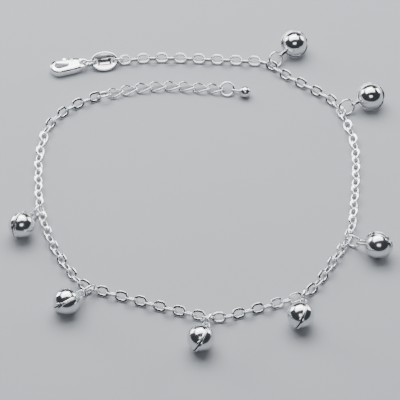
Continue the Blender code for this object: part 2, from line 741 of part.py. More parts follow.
def make_tag_and_clasp(plan, links):
    """The tag, its ring, the clasp's ring and the clasp, each linked to the one before it."""
    heading = heading_at(plan, 0)
    roll = UPRIGHT_RING_ROLL
    inset = LINK_LENGTH / 2 - LINK_STRIP - RING_WIRE / 2 - RING_CLEARANCE * 1.8
    along = Vector((heading.x, heading.y, 0))
    hook = links[0].translation - along * inset
    tag_ring = through_ring(hook, heading, roll, TAG_RING_DIAMETER, 1)
    new_object("tag_ring", ring_mesh("tag_ring", TAG_RING_DIAMETER), "rings", tag_ring)

    tag = tag_mesh()
    turn = route_matrix(Vector((0, 0)), heading, 0, TAG_TILT)
    height = -lowest(tag, turn)
    hole = ring_point(tag_ring, height, roll, TAG_RING_DIAMETER, -1)
    reach = TAG_LENGTH / 2 - TAG_HOLE_INSET
    centre = hole - along * reach
    new_object("tag", tag, "tag", route_matrix(centre, heading, height, TAG_TILT))

    back = Vector((math.cos(CLASP_RING_TURN), math.sin(CLASP_RING_TURN)))
    hole = centre - along * reach
    clasp_ring = through_ring(hole, back, -roll, CLASP_RING_DIAMETER, -1)
    new_object("clasp_ring", ring_mesh("clasp_ring", CLASP_RING_DIAMETER), "rings", clasp_ring)

    middle = CLASP_THICKNESS / 2
    eye = ring_point(clasp_ring, middle + EYE_RISE, -roll, CLASP_RING_DIAMETER, 1)
    way = Vector((math.cos(CLASP_TURN), math.sin(CLASP_TURN), 0))
    start = eye + way * (CLASP_SPAN / 2 + CLASP_TAIL_RADIUS - EYE_INSET)
    clasp = Matrix.Translation((start.x, start.y, 0)) @ Matrix.Rotation(CLASP_TURN, 4, "Z")
    new_object("clasp_body", other_hand(clasp_body_mesh()), "clasp", clasp)
    _, _, pivot, _ = clasp_places()
    at_pivot = clasp @ Matrix.Translation((pivot.x, -pivot.y, middle))
    new_object("clasp_lever", other_hand(lever_mesh()), "clasp", at_pivot)
    pin = cylinder_mesh((0, 0), PIN_DIAMETER / 2, -middle + LEVER_GAP, middle, PIN_SIDES)
    new_object("clasp_pin", pin, "clasp", at_pivot)


def make_bells(links):
    """Seven bells, each hung by a leaning jump ring from the link nearest its place on the route."""
    shell, pellet = bell_mesh(), pellet_mesh()
    ring = ring_mesh("bell_ring", BELL_RING_DIAMETER)
    radius = (BELL_RING_DIAMETER - RING_WIRE) / 2
    hang = BELL_RADIUS + BAIL_REACH - BAIL_STRIP - RING_WIRE / 2 - BAIL_CLEARANCE
    for name, spot, way, lean, twist in BELLS:
        side = Vector((way[0], way[1], 0)).normalized()
        rising = [frame for frame in links if rises_to(frame, side)]
        link = min(rising, key=lambda frame: (frame.translation.xy - on_loop(spot)).length)
        hook = link.translation
        up = Matrix.Rotation(math.radians(lean), 3, side) @ Vector((0, 0, 1))
        centre_height = radius * up.z + RING_WIRE / 2
        fall = (centre_height - hook.z) / up.z
        inward = math.sqrt(radius ** 2 - fall ** 2)
        centre = hook + side * inward + up * fall
        turn = Matrix((side, up, side.cross(up))).transposed().to_4x4()
        new_object(f"bell_ring_{name}", ring, "rings", Matrix.Translation(centre) @ turn)

        swing = 0.0
        for _ in range(4):
            out = side * math.cos(swing) + up * math.sin(swing)
            across = Matrix.Rotation(math.radians(twist), 3, out) @ (up * math.cos(swing) - side * math.sin(swing))
            turn = Matrix((-out, across, (-out).cross(across))).transposed().to_4x4()
            rest = -lowest(shell, turn)
            swing = math.asin((rest - centre_height) / ((radius + hang) * up.z))
        body = Matrix.Translation(centre + out * (radius + hang)) @ turn
        new_object(f"bell_{name}", shell, "bells", body)
        inside = Matrix.Translation(
            body.translation - Vector((0, 0, BELL_RADIUS - BELL_WALL - PELLET_DIAMETER / 2 - PELLET_REST))
        )
        new_object(f"bell_pellet_{name}", pellet, "pellet", inside)


def rises_to(frame, side):
    """Whether a link's raised edge is the one on the bell's side, so that a ring can hang from it."""
    edge = frame.col[1].xyz
    return edge.z * edge.dot(side) > 0


def centre_on_floor():
    """Moves the whole anklet so that the middle of its footprint is the origin."""
    bpy.context.view_layer.update()
    corners = [obj.matrix_world @ vert.co for obj in bpy.data.objects for vert in obj.data.vertices]
    low = [min(corner[k] for corner in corners) for k in range(3)]
    high = [max(corner[k] for corner in corners) for k in range(3)]
    shift = Vector((-(low[0] + high[0]) / 2, -(low[1] + high[1]) / 2, -low[2]))
    for obj in bpy.data.objects:
        obj.location += shift
    bpy.context.view_layer.update()


def main():
    clear_scene()
    plan = plan_route()
    links = make_chain(plan)
    make_tag_and_clasp(plan, links)
    make_extender(plan)
    make_route_rings(plan)
    make_drop(plan)
    make_bells(links)
    centre_on_floor()


main()
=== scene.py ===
"""The bell anklet in polished silver, lying open on a pale studio floor.

Lengths are in millimetres and become metres as each mesh is made. The layout repeats the one that the solids
were made from: X runs to the right, Y away from the viewer and Z up from the floor.
"""

import math

import bmesh
import bpy
from mathutils import Matrix, Quaternion, Vector


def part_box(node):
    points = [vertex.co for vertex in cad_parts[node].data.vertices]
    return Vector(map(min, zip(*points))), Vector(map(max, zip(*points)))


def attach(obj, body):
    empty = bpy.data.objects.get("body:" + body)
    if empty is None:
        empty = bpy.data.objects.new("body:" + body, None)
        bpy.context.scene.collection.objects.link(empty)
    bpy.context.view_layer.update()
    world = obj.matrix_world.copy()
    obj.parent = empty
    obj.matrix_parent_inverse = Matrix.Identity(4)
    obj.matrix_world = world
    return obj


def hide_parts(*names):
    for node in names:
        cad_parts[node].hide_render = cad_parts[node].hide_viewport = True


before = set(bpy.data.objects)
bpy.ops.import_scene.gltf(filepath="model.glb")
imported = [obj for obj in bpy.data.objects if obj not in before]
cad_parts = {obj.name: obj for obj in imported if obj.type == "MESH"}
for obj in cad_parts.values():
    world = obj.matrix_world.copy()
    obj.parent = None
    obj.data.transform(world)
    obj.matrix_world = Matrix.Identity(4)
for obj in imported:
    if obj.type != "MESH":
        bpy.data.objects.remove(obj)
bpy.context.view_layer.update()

MM = 0.001
STAY = "anklet"
FINE_STEPS = 180
CORNER_STEPS = 4
MERGE_DISTANCE = 0.0005

# Chain of flat oval links
LINK_LENGTH = 3.0
LINK_WIDTH = 2.3
LINK_STRIP = 0.5
LINK_STRIP_SHOWN = 0.56
LINK_THICKNESS = 0.33
LINK_CORNER = 0.11
LINK_ROLL = math.radians(45)
WELD_DEPTH = 0.05

# Extender of twisted teardrop links
EXTENDER_COUNT = 8
EXTENDER_LENGTH = 4.1
EXTENDER_ROUND_WIDTH = 2.6
EXTENDER_NARROW_WIDTH = 2.1
EXTENDER_WIRE = 0.5
EXTENDER_WIRE_ROUND = 0.45
EXTENDER_CORNER = 0.49 * EXTENDER_WIRE_ROUND

# Jump rings
RING_WIRE = 0.5
RING_SLIT = math.radians(2.4)
RING_SLIT_PLACE = math.radians(100)
BELL_RING_DIAMETER = 3.8
END_RING_DIAMETER = 3.5
TAG_RING_DIAMETER = 2.6
CLASP_RING_DIAMETER = 3.1
RING_CLEARANCE = 0.14
TAG_RING_CLEARANCE = 1.8 * RING_CLEARANCE
BAIL_CLEARANCE = 0.28
END_RING_CLEARANCE = 0.28
END_RING_ROLL = math.radians(30)
UPRIGHT_RING_ROLL = math.radians(-62)

# Bells, drawn with the bail at +X, the mouth at -X and the seam in the XY plane
BELL_RADIUS = 2.75
BELL_WALL = 0.35
BELL_COLUMNS = 72
BELL_ROWS = 20
SEAM_GAP = 0.03
FLANGE_REACH = 0.34
FLANGE_SHEET = 0.2
FLANGE_FILLET = 0.14
FLANGE_ROUNDING = 0.09
MOUTH_GAP = 0.26
MOUTH_HALF_ANGLE = math.radians(41)
LIP_HALF_ANGLE = math.radians(30)
LIP_REACH = 0.3
MOUTH_EDGE_REACH = 0.08
LIP_THICKNESS = 0.41
MOUTH_EASE = math.radians(5)
LIP_EASE = math.radians(11)
BAIL_WIDTH = 0.65
BAIL_STRIP = 0.28
BAIL_CORNER = 0.09
BAIL_GAP = 1.05
BAIL_REACH = 2.1
BAIL_ROOT = 0.5
PELLET_DIAMETER = 2.0
PELLET_REST = 0.42

# Oval tag
TAG_LENGTH = 6.1
TAG_WIDTH = 4.3
TAG_THICKNESS = 0.7
TAG_RIM = 0.4
TAG_RIM_HEIGHT = 0.18
TAG_ROUNDING = 0.07
TAG_RIM_DRAFT = 0.03
TAG_EDGE_BREAK = 0.04
TAG_HOLE_DIAMETER = 1.15
TAG_HOLE_INSET = 1.05
TAG_PANEL_LENGTH = 2.1
TAG_PANEL_WIDTH = 1.2
TAG_PANEL_DEPTH = 0.16
TAG_TILT = math.radians(28)

# Lobster clasp, drawn from its tail eye at -X to its hook at +X, its lever at +Y, and then mirrored
CLASP_THICKNESS = 1.9
CLASP_HOOK_RADIUS = 2.05
CLASP_BELLY_RADIUS = 1.8
CLASP_BELLY_PLACE = -0.4
CLASP_TAIL_RADIUS = 1.2
CLASP_SPAN = 5.4
# Foot and crown: how far the outline moves outwards, and its height from that end
CLASP_FOOT = [(-0.3, 0.0), (-0.1, 0.08), (0.0, 0.3)]
CLASP_CROWN = [(0.0, -0.55), (-0.07, -0.34), (-0.22, -0.18), (-0.5, -0.07), (-0.85, 0.0)]
HOOK_WALL = 1.05
HOOK_HOLE_SPAN = 1.35
HOOK_HOLE_NARROW = 1.5
EYE_HOLE_DIAMETER = 1.5
EYE_THICKNESS = 0.8
EYE_RISE = 0.3
EYE_LENGTH = 2.1
EYE_INSET = 1.15
GATE_LENGTH = 2.7
GATE_SHARE_OF_HOOK = 0.68
GATE_DEPTH = 0.45
LEVER_THICKNESS = 0.8
LEVER_TIP_WIDTH = 0.62
LEVER_BOSS_DIAMETER = 1.15
LEVER_GAP = 0.12
LEVER_OPENING = math.radians(22)
PIVOT_BACK = 0.9
PIVOT_SIDE = 0.95
TIP_SIDE = 1.45
PIN_DIAMETER = 0.6
PIN_CLEARANCE = 0.07
PIN_FOOT = [(-0.08, 0.0), (0.0, 0.06)]
PIN_CROWN = [(0.0, -0.1), (-0.05, -0.03), (-0.14, 0.0)]
NUB_FORWARD = 1.5
NUB_REACH = 1.0
NUB_WIDTH = 0.75
NUB_THICKNESS = 1.1
NUB_TAPER = 1.15
CLASP_TURN = math.radians(192)
CLASP_RING_TURN = math.radians(186)
CAST_GRAIN = 0.07

# Ball drop
BALL_DIAMETER = 2.5
DROP_EYE_LENGTH = 2.7
DROP_EYE_WIDTH = 1.65
DROP_WIRE = 0.36
DROP_SINK = 0.5
DROP_ROLL = math.radians(50)
COLLAR_RADIUS = 0.52
COLLAR_REACH = 0.16
COLLAR_SINK = 0.1

# Where the chain lies, from the tag round the ankle to the extender's far end
ROUTE = [
    (-16.6, 36.9), (-11.3, 37.5), (-5.0, 37.5), (3.0, 37.1), (9.5, 36.7), (14.6, 36.0),
    (19.0, 32.2), (24.4, 28.3), (29.0, 24.4), (31.4, 19.0), (33.0, 12.5), (33.1, 5.0),
    (32.4, -3.5), (31.2, -12.2), (28.0, -18.9), (22.4, -27.6), (16.0, -30.6), (10.0, -32.6),
    (3.4, -34.4), (-4.0, -32.8), (-11.0, -30.6), (-18.0, -28.3), (-24.0, -25.8), (-28.4, -19.6),
    (-31.2, -13.6), (-33.5, -5.2), (-34.2, 3.0), (-34.2, 9.5), (-32.8, 16.9), (-29.0, 22.0),
    (-23.8, 25.4), (-18.7, 27.2), (-12.6, 28.7), (-6.2, 29.2), (0.4, 28.6), (6.0, 28.1), (10.5, 26.6),
]
ROUTE_EXTENDER_START = 30

# Bells: name, where on the chain they hang, the way they lie from it, the ring's lean and the bell's twist
BELLS = [
    ("1", (15.8, 35.2), (6.0, 4.3), -30, -23),
    ("2", (30.6, 21.4), (6.5, 1.9), -28, -23),
    ("3", (-21.7, -27.1), (-5.7, -4.4), -15, -22),
    ("4", (1.8, -34.3), (-2.2, -6.6), -16, -8),
    ("5", (21.3, -28.5), (-1.1, -6.9), 0, -22),
    ("6", (30.2, -14.9), (6.6, -2.5), 0, -22),
    ("7", (-33.3, -6.2), (-4.1, -5.9), -9, 22),
]

# Haze and scratches on the polish
HAZE_FROM = 0.35
HAZE_TO = 0.7
SCRATCH_FROM = 0.62
SCRATCH_TO = 0.7
SCRATCH_SCALE = 9000.0
SCRATCH_STRETCH = (1.0, 0.1, 0.1)
SCRATCH_TURNS = ((0.3, 0.2, 0.7), (1.1, 0.5, -0.6))
SCRATCH_HEIGHT = 0.006
SCRATCH_STRENGTH = 0.3

# Soft lights: name, place, width, height, power and the point that each is aimed at
SOFT_LIGHTS = [
    ("overhead softbox", (-30, 160, 405), 660, 300, 3.7, (0, 0, 0)),
    ("rear softbox", (-60, 270, 310), 380, 210, 2.0, (0, 0, 0)),
    ("front softbox", (30, -430, 560), 330, 220, 0.8, (0, 0, 0)),
    ("left rear screen", (-400, 310, 130), 240, 240, 1.5, (0, 0, 100)),
    ("right rear screen", (400, 310, 130), 240, 240, 1.2, (0, 0, 100)),
]
ROOM_TONE = (0.30, 0.33, 0.38, 1.0)
ROOM_STRENGTH = 0.16
PAPER_TONE = (0.31, 0.325, 0.35, 1.0)
PAPER_ROUGHNESS = 0.75
PAPER_GRAIN_SCALE = 2500.0
PAPER_GRAIN_STRENGTH = 0.15
PAPER_GRAIN_HEIGHT = 0.03
PAPER_REACH = 2500
PAPER_DEPTH = 10

# The photograph's view, in the route's own frame
VIEW_DISTANCE = 500.0
VIEW_ELEVATION = math.radians(50)
VIEW_TARGET = Vector((0.0, -2.7, 0.0))
SENSOR = 36.0
VIEW_LENS = 213.75


# Layout

def smooth_route():
    """Points along a smooth curve through ROUTE, with each route point's index."""
    points = [Vector(spot) for spot in ROUTE]
    padded = [points[0] * 2 - points[1]] + points + [points[-1] * 2 - points[-2]]
    fine, marks = [], []
    steps = 60
    for i in range(1, len(padded) - 2):
        p0, p1, p2, p3 = padded[i - 1 : i + 3]
        marks.append(len(fine))
        for k in range(steps):
            t = k / steps
            fine.append(
                0.5 * (2 * p1 + (p2 - p0) * t + (2 * p0 - 5 * p1 + 4 * p2 - p3) * t * t
                       + (3 * p1 - p0 - 3 * p2 + p3) * t ** 3)
            )
    marks.append(len(fine))
    fine.append(points[-1])
    return fine, marks


class Walker:
    """Steps along the route by straight distances."""

    def __init__(self):
        self.fine, self.marks = smooth_route()
        self.index = 0
        self.point = self.fine[0]

    def step(self, distance):
        """Moves on until the point is `distance` from the last one."""
        start = self.point
        while self.index + 1 < len(self.fine) and (self.fine[self.index + 1] - start).length < distance:
            self.index += 1
        if self.index + 1 < len(self.fine):
            near = self.fine[self.index]
            far = self.fine[self.index + 1]
            low = (near - start).length
            self.point = near + (far - near) * ((distance - low) / ((far - start).length - low))
        else:
            self.point = start + (self.fine[-1] - self.fine[-2]).normalized() * distance
        return self.point


def plan_route():
    """Centres of every link and ring along the route, as (kind, point), in order."""
    half_link = LINK_LENGTH / 2 - LINK_STRIP
    half_extender = EXTENDER_LENGTH / 2 - EXTENDER_WIRE
    half_ring = END_RING_DIAMETER / 2 - RING_WIRE
    half_drop = DROP_EYE_LENGTH / 2 - DROP_WIRE
    walker = Walker()
    plan = [("link", walker.point)]
    while walker.index < walker.marks[ROUTE_EXTENDER_START]:
        plan.append(("link", walker.step(2 * half_link + WELD_DEPTH)))
    plan.append(("start_ring", walker.step(half_link + half_ring - RING_CLEARANCE)))
    plan.append(("extender", walker.step(half_ring + half_extender - RING_CLEARANCE)))
    for _ in range(EXTENDER_COUNT - 1):
        plan.append(("extender", walker.step(2 * half_extender + WELD_DEPTH)))
    plan.append(("end_ring", walker.step(half_ring + half_extender - END_RING_CLEARANCE)))
    plan.append(("drop", walker.step(half_ring + half_drop - END_RING_CLEARANCE)))
    return plan


def heading_at(plan, index):
    """The direction of the route at one place in the plan."""
    before = plan[max(index - 1, 0)][1]
    after = plan[min(index + 1, len(plan) - 1)][1]
    return (after - before).normalized()


def route_matrix(point, heading, height, roll):
    """Local X along the route, local Y across it, rolled about the route's direction."""
    along = Vector((heading.x, heading.y, 0))
    up = Vector((0, 0, 1))
    turn = Matrix((along, up.cross(along), up)).transposed().to_4x4()
    return Matrix.Translation((point.x, point.y, height)) @ turn @ Matrix.Rotation(roll, 4, "X")


def link_height():
    """Height of the chain's centre line when its rolled links rest on the floor."""
    return LINK_WIDTH / 2 * math.sin(LINK_ROLL) + LINK_THICKNESS / 2 * math.cos(LINK_ROLL)


def link_roll(index):
    """Links lean to one side and the other in turn, from the tag's end."""
    return LINK_ROLL if index % 2 == 0 else -LINK_ROLL


def lean_of_end(plan):
    """Which way the chain's last link leans, 1 or -1, which the extender's rings and links follow."""
    return math.copysign(1.0, link_roll(sum(kind == "link" for kind, _ in plan) - 1))


def ring_height(diameter, roll):
    """Height of a ring's centre when it leans at `roll` from lying flat."""
    return (diameter - RING_WIRE) / 2 * abs(math.sin(roll)) + RING_WIRE / 2


def through_ring(point, heading, roll, diameter, side):
    """The frame of a ring on the floor whose wire passes through `point`, on its `side` along heading."""
    radius = (diameter - RING_WIRE) / 2
    height = ring_height(diameter, roll)
    rise = (point.z - height) / math.sin(roll)
    along = Vector((heading.x, heading.y, 0))
    across = Vector((0, 0, 1)).cross(along)
    centre = point - along * side * math.sqrt(radius ** 2 - rise ** 2) - across * rise * math.cos(roll)
    return route_matrix(centre, heading, height, roll)


def ring_point(place, height, roll, diameter, side):
    """Where a leaning ring's wire is at one height, on its `side` along X."""
    radius = (diameter - RING_WIRE) / 2
    rise = (height - place.translation.z) / math.sin(roll)
    return place @ Vector((side * math.sqrt(radius ** 2 - rise ** 2), rise, 0))


def rises_to(place, side):
    """Whether a link's raised edge is the one on the bell's side, so that a ring can hang from it."""
    edge = place.col[1].xyz
    return edge.z * edge.dot(side) > 0


# Meshes

def oval(half_length, half_width, count):
    """Points round an oval about the origin."""
    turns = [2 * math.pi * i / count for i in range(count)]
    return [(half_length * math.cos(turn), half_width * math.sin(turn)) for turn in turns]


def finished_mesh(name, mesh):
    """Turns a bmesh in millimetres into a smooth mesh in metres with its faces out."""
    bmesh.ops.remove_doubles(mesh, verts=mesh.verts, dist=MERGE_DISTANCE)
    bmesh.ops.recalc_face_normals(mesh, faces=mesh.faces)
    bmesh.ops.scale(mesh, vec=(MM, MM, MM), verts=mesh.verts)
    data = bpy.data.meshes.new(name)
    mesh.to_mesh(data)
    mesh.free()
    data.shade_smooth()
    return data


def placed(data, place):
    """A copy of a mesh in metres, moved by a matrix whose translation is in millimetres."""
    matrix = place.copy()
    matrix.translation = matrix.translation * MM
    moved = data.copy()
    moved.transform(matrix)
    return moved


def lowest(data, matrix):
    """The lowest height, in millimetres, of a mesh turned by a matrix about its own origin."""
    turn = matrix.to_3x3()
    return min((turn @ vert.co).z for vert in data.vertices) / MM


def show(name, data, material, slot, body, *nodes):
    """Puts one finished piece in the scene on its CAD body, in place of the plain nodes."""
    obj = bpy.data.objects.new(name, data)
    data.name = name
    data.materials.clear()
    data.materials.append(material)
    bpy.context.scene.collection.objects.link(obj)
    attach(obj, body)
    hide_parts(*nodes)


def evaluated_mesh(obj):
    """The plain mesh that an object's modifiers make, taken from it before the object goes."""
    graph = bpy.context.evaluated_depsgraph_get()
    data = bpy.data.meshes.new_from_object(obj.evaluated_get(graph))
    bpy.data.objects.remove(obj, do_unlink=True)
    return data


def loop_outline(gap, left_radius, right_radius, sides, offset=0.0):
    """The outline round two circles `gap` apart along X, moved outwards by `offset`."""
    contact = math.acos((left_radius - right_radius) / gap)
    half = sides // 2
    points = []
    for centre, radius, start, sweep in (
        (gap / 2, right_radius, -contact, 2 * contact),
        (-gap / 2, left_radius, contact, 2 * (math.pi - contact)),
    ):
        for i in range(half):
            angle = start + sweep * i / (half - 1)
            points.append((centre + (radius + offset) * math.cos(angle), (radius + offset) * math.sin(angle)))
    return points


def skin(mesh, rings, closed_section=False):
    """Faces between consecutive rings of vertices, and from the last to the first on a closed section."""
    pairs = list(zip(rings, rings[1:]))
    if closed_section:
        pairs.append((rings[-1], rings[0]))
    for lower, upper in pairs:
        for i in range(len(lower)):
            j = (i + 1) % len(lower)
            mesh.faces.new((lower[i], lower[j], upper[j], upper[i]))


def rounded_section(width, height, corner):
    """Points round a rectangle with rounded corners. A corner of half the width makes it a circle."""
    points = []
    for index, (x, y) in enumerate(((1, 1), (-1, 1), (-1, -1), (1, -1))):
        for k in range(CORNER_STEPS):
            angle = math.pi / 2 * (index + k / (CORNER_STEPS - 1))
            points.append((
                x * (width / 2 - corner) + corner * math.cos(angle),
                y * (height / 2 - corner) + corner * math.sin(angle),
            ))
    return points


def add_loop(mesh, gap, radius, section, sides, place):
    """A closed oval loop swept with a section of (outward, upward) points."""
    rings = []
    for outward, upward in section:
        outline = loop_outline(gap, radius, radius, sides, outward)
        rings.append([mesh.verts.new(place @ Vector((x, y, upward))) for x, y in outline])
    skin(mesh, rings, True)


def prism_mesh(rings_of_points):
    """A closed solid through outlines at rising heights, given as (outline, height)."""
    mesh = bmesh.new()
    rings = [[mesh.verts.new((x, y, height)) for x, y in outline] for outline, height in rings_of_points]
    skin(mesh, rings)
    mesh.faces.new(rings[0])
    mesh.faces.new(rings[-1])
    return finished_mesh("prism", mesh)


def box_mesh(low, high):
    """A box between two corners, in millimetres."""
    corners = [(low[0], low[1]), (high[0], low[1]), (high[0], high[1]), (low[0], high[1])]
    return prism_mesh([(corners, low[2]), (corners, high[2])])


def round_mesh(centre, radius, low, high, sides=40):
    """An upright round bar, in millimetres."""
    circle = [(centre[0] + x, centre[1] + y) for x, y in oval(radius, radius, sides)]
    return prism_mesh([(circle, low), (circle, high)])


def worked_mesh(base, steps, finish):
    """A mesh after boolean steps of (operation, mesh) and the modifiers of `finish`, as (kind, settings)."""
    body = bpy.data.objects.new("work", base)
    bpy.context.scene.collection.objects.link(body)
    tools = []
    for operation, data in steps:
        tool = bpy.data.objects.new("tool", data)
        bpy.context.scene.collection.objects.link(tool)
        modifier = body.modifiers.new(operation, "BOOLEAN")
        modifier.operation = operation
        modifier.solver = "EXACT"
        modifier.object = tool
        tools.append(tool)
    for kind, settings in finish:
        modifier = body.modifiers.new(kind, kind)
        for key, value in settings.items():
            setattr(modifier, key, value)
    data = evaluated_mesh(body)
    for tool in tools:
        bpy.data.objects.remove(tool, do_unlink=True)
    data.shade_smooth()
    return data


# Node trees

def feed(tree, value, socket):
    """Feeds a socket with a plain value, with an output, or with a node's first output."""
    source = value.outputs[0] if isinstance(value, bpy.types.Node) else value
    if isinstance(source, bpy.types.NodeSocket):
        tree.links.new(source, socket)
    else:
        socket.default_value = source


def add_node(tree, kind, feeds=None, **settings):
    """Adds a node, sets it up and feeds its inputs."""
    node = tree.nodes.new(kind)
    for key, value in settings.items():
        setattr(node, key, value)
    for label, value in (feeds or {}).items():
        feed(tree, value, node.inputs[label])
    return node


def maths(tree, operation, first, second=0.0):
    """One step of arithmetic in a node tree."""
    return add_node(tree, "ShaderNodeMath", {0: first, 1: second}, operation=operation)


def sockets(kind, *labels):
    """Named sockets of one kind, such as Float or Geometry."""
    return {label: f"NodeSocket{kind}" for label in labels}


def new_group(kind, name, inputs, outputs):
    """An empty node group with named inputs and outputs, given as name: socket type."""
    tree = bpy.data.node_groups.new(name, kind)
    for label, socket_type in inputs.items():
        tree.interface.new_socket(label, in_out="INPUT", socket_type=socket_type)
    for label, socket_type in outputs.items():
        tree.interface.new_socket(label, in_out="OUTPUT", socket_type=socket_type)
    return tree, tree.nodes.new("NodeGroupInput").outputs, tree.nodes.new("NodeGroupOutput").inputs


def growing_tree(name, floats, whole_numbers=()):
    """A geometry tree that grows something at the points of a mesh, in one material."""
    inputs = {
        **sockets("Geometry", "Geometry"), **sockets("Float", *floats), **sockets("Int", *whole_numbers),
        **sockets("Material", "Material"),
    }
    return new_group("GeometryNodeTree", name, inputs, sockets("Geometry", "Geometry"))


def finish_instances(tree, given, instance, rotation, output):
    """Puts an instance at every point, and ends the tree with real geometry of one material."""
    points = add_node(tree, "GeometryNodeMeshToPoints", {"Mesh": given["Geometry"]})
    spread = add_node(
        tree, "GeometryNodeInstanceOnPoints", {"Points": points, "Instance": instance, "Rotation": rotation}
    )
    real = add_node(tree, "GeometryNodeRealizeInstances", {"Geometry": spread})
    done = add_node(tree, "GeometryNodeSetMaterial", {"Geometry": real, "Material": given["Material"]})
    feed(tree, done, output["Geometry"])
    return tree


def links_tree():
    """Links along a path: a teardrop or oval outline, twisted or not, swept with a strip, rolled in turn."""
    tree, given, output = growing_tree(
        "chain links",
        ["Round radius", "Narrow radius", "Gap", "Strip width", "Strip thickness", "Corner", "Roll", "Twist"],
        ["Corner steps", "Outline steps"],
    )
    circle = add_node(tree, "GeometryNodeCurvePrimitiveCircle", {"Resolution": FINE_STEPS, "Radius": 1.0})
    spot = add_node(tree, "ShaderNodeSeparateXYZ", {0: add_node(tree, "GeometryNodeInputPosition")}).outputs
    spread = maths(tree, "SUBTRACT", given["Round radius"], given["Narrow radius"])
    narrow_end = maths(tree, "GREATER_THAN", spot["X"], maths(tree, "DIVIDE", spread, given["Gap"]))
    radius = maths(tree, "SUBTRACT", given["Round radius"], maths(tree, "MULTIPLY", narrow_end, spread))
    side = maths(tree, "MULTIPLY", maths(tree, "SUBTRACT", narrow_end, 0.5), given["Gap"])
    along = maths(tree, "ADD", maths(tree, "MULTIPLY", spot["X"], radius), side)
    across = maths(tree, "MULTIPLY", spot["Y"], radius)
    outline = add_node(tree, "ShaderNodeCombineXYZ", {"X": along, "Y": across})
    shaped = add_node(tree, "GeometryNodeSetPosition", {"Geometry": circle, "Position": outline})
    even = add_node(tree, "GeometryNodeResampleCurve", {"Curve": shaped, "Count": given["Outline steps"]})
    both_radii = maths(tree, "ADD", given["Round radius"], given["Narrow radius"])
    length = maths(tree, "ADD", given["Gap"], both_radii)
    here = add_node(tree, "GeometryNodeInputPosition")
    share = add_node(tree, "ShaderNodeSeparateXYZ", {0: here}).outputs["X"]
    turn = maths(tree, "MULTIPLY", given["Twist"], maths(tree, "DIVIDE", share, length))
    twisted = add_node(
        tree, "ShaderNodeVectorRotate", {"Vector": here, "Angle": turn}, rotation_type="X_AXIS"
    )
    bent = add_node(tree, "GeometryNodeSetPosition", {"Geometry": even, "Position": twisted})
    upright = add_node(tree, "GeometryNodeSetCurveNormal", {"Curve": bent}, mode="Z_UP")
    strip = add_node(
        tree, "GeometryNodeCurvePrimitiveQuadrilateral",
        {"Width": given["Strip width"], "Height": given["Strip thickness"]},
    )
    section = add_node(
        tree, "GeometryNodeFilletCurve",
        {"Curve": strip, "Radius": given["Corner"], "Count": given["Corner steps"]}, mode="POLY",
    )
    link = add_node(tree, "GeometryNodeCurveToMesh", {"Curve": upright, "Profile Curve": section})
    heading = add_node(tree, "GeometryNodeInputNamedAttribute", {"Name": "heading"}, data_type="FLOAT_VECTOR")
    facing = add_node(
        tree, "FunctionNodeAlignRotationToVector", {"Vector": heading}, axis="X", pivot_axis="Z"
    )
    odd = maths(tree, "MODULO", add_node(tree, "GeometryNodeInputIndex"), 2.0)
    turn_about = maths(tree, "SUBTRACT", 1.0, maths(tree, "MULTIPLY", 2.0, odd))
    lean = add_node(
        tree, "FunctionNodeAxisAngleToRotation",
        {"Axis": (1.0, 0.0, 0.0), "Angle": maths(tree, "MULTIPLY", turn_about, given["Roll"])},
    )
    rolled = add_node(
        tree, "FunctionNodeRotateRotation", {"Rotation": facing, "Rotate By": lean}, rotation_space="LOCAL"
    )
    return finish_instances(tree, given, link, rolled, output)


def rings_tree():
    """Jump rings of round wire at the places that the points give, each with its fine slit."""
    tree, given, output = growing_tree(
        "jump rings", ["Ring radius", "Wire radius", "Slit", "Slit place"], ["Ring steps", "Wire steps"]
    )
    half_slit = maths(tree, "MULTIPLY", given["Slit"], 0.5)
    arc = add_node(
        tree, "GeometryNodeCurveArc",
        {
            "Resolution": given["Ring steps"], "Radius": given["Ring radius"],
            "Start Angle": maths(tree, "ADD", given["Slit place"], half_slit),
            "Sweep Angle": maths(tree, "SUBTRACT", 2 * math.pi, given["Slit"]),
        },
    )
    wire = add_node(
        tree, "GeometryNodeCurvePrimitiveCircle",
        {"Resolution": given["Wire steps"], "Radius": given["Wire radius"]},
    )
    ring = add_node(
        tree, "GeometryNodeCurveToMesh", {"Curve": arc, "Profile Curve": wire, "Fill Caps": True}
    )
    turn = add_node(tree, "GeometryNodeInputNamedAttribute", {"Name": "turn"}, data_type="QUATERNION")
    return finish_instances(tree, given, ring, turn, output)


def pellets_tree():
    """Round pellets, one at each point."""
    tree, given, output = growing_tree("bell pellets", ["Radius"])
    ball = add_node(
        tree, "GeometryNodeMeshUVSphere", {"Segments": 24, "Rings": 16, "Radius": given["Radius"]}
    )
    turn = add_node(tree, "GeometryNodeInputNamedAttribute", {"Name": "turn"}, data_type="QUATERNION")
    return finish_instances(tree, given, ball, turn, output)


def grown_mesh(tree, spots, attribute, kind, values, inputs):
    """The plain mesh that a tree makes from points in millimetres, each with one attribute value."""
    data = bpy.data.meshes.new("spots")
    data.from_pydata([tuple(spot * MM) for spot in spots], [], [])
    layer = data.attributes.new(attribute, kind, "POINT")
    field = "value" if kind == "QUATERNION" else "vector"
    for item, value in zip(layer.data, values):
        setattr(item, field, value)
    obj = bpy.data.objects.new("spots", data)
    bpy.context.scene.collection.objects.link(obj)
    modifier = obj.modifiers.new("growth", "NODES")
    modifier.node_group = tree
    identifiers = {item.name: item.identifier for item in tree.interface.items_tree if item.in_out == "INPUT"}
    for label, value in inputs.items():
        modifier[identifiers[label]] = value
    grown = evaluated_mesh(obj)
    grown.shade_smooth()
    return grown


# Finishes

def object_place(tree):
    """Where a point lies on its object, which textures follow."""
    return add_node(tree, "ShaderNodeTexCoord").outputs["Object"]


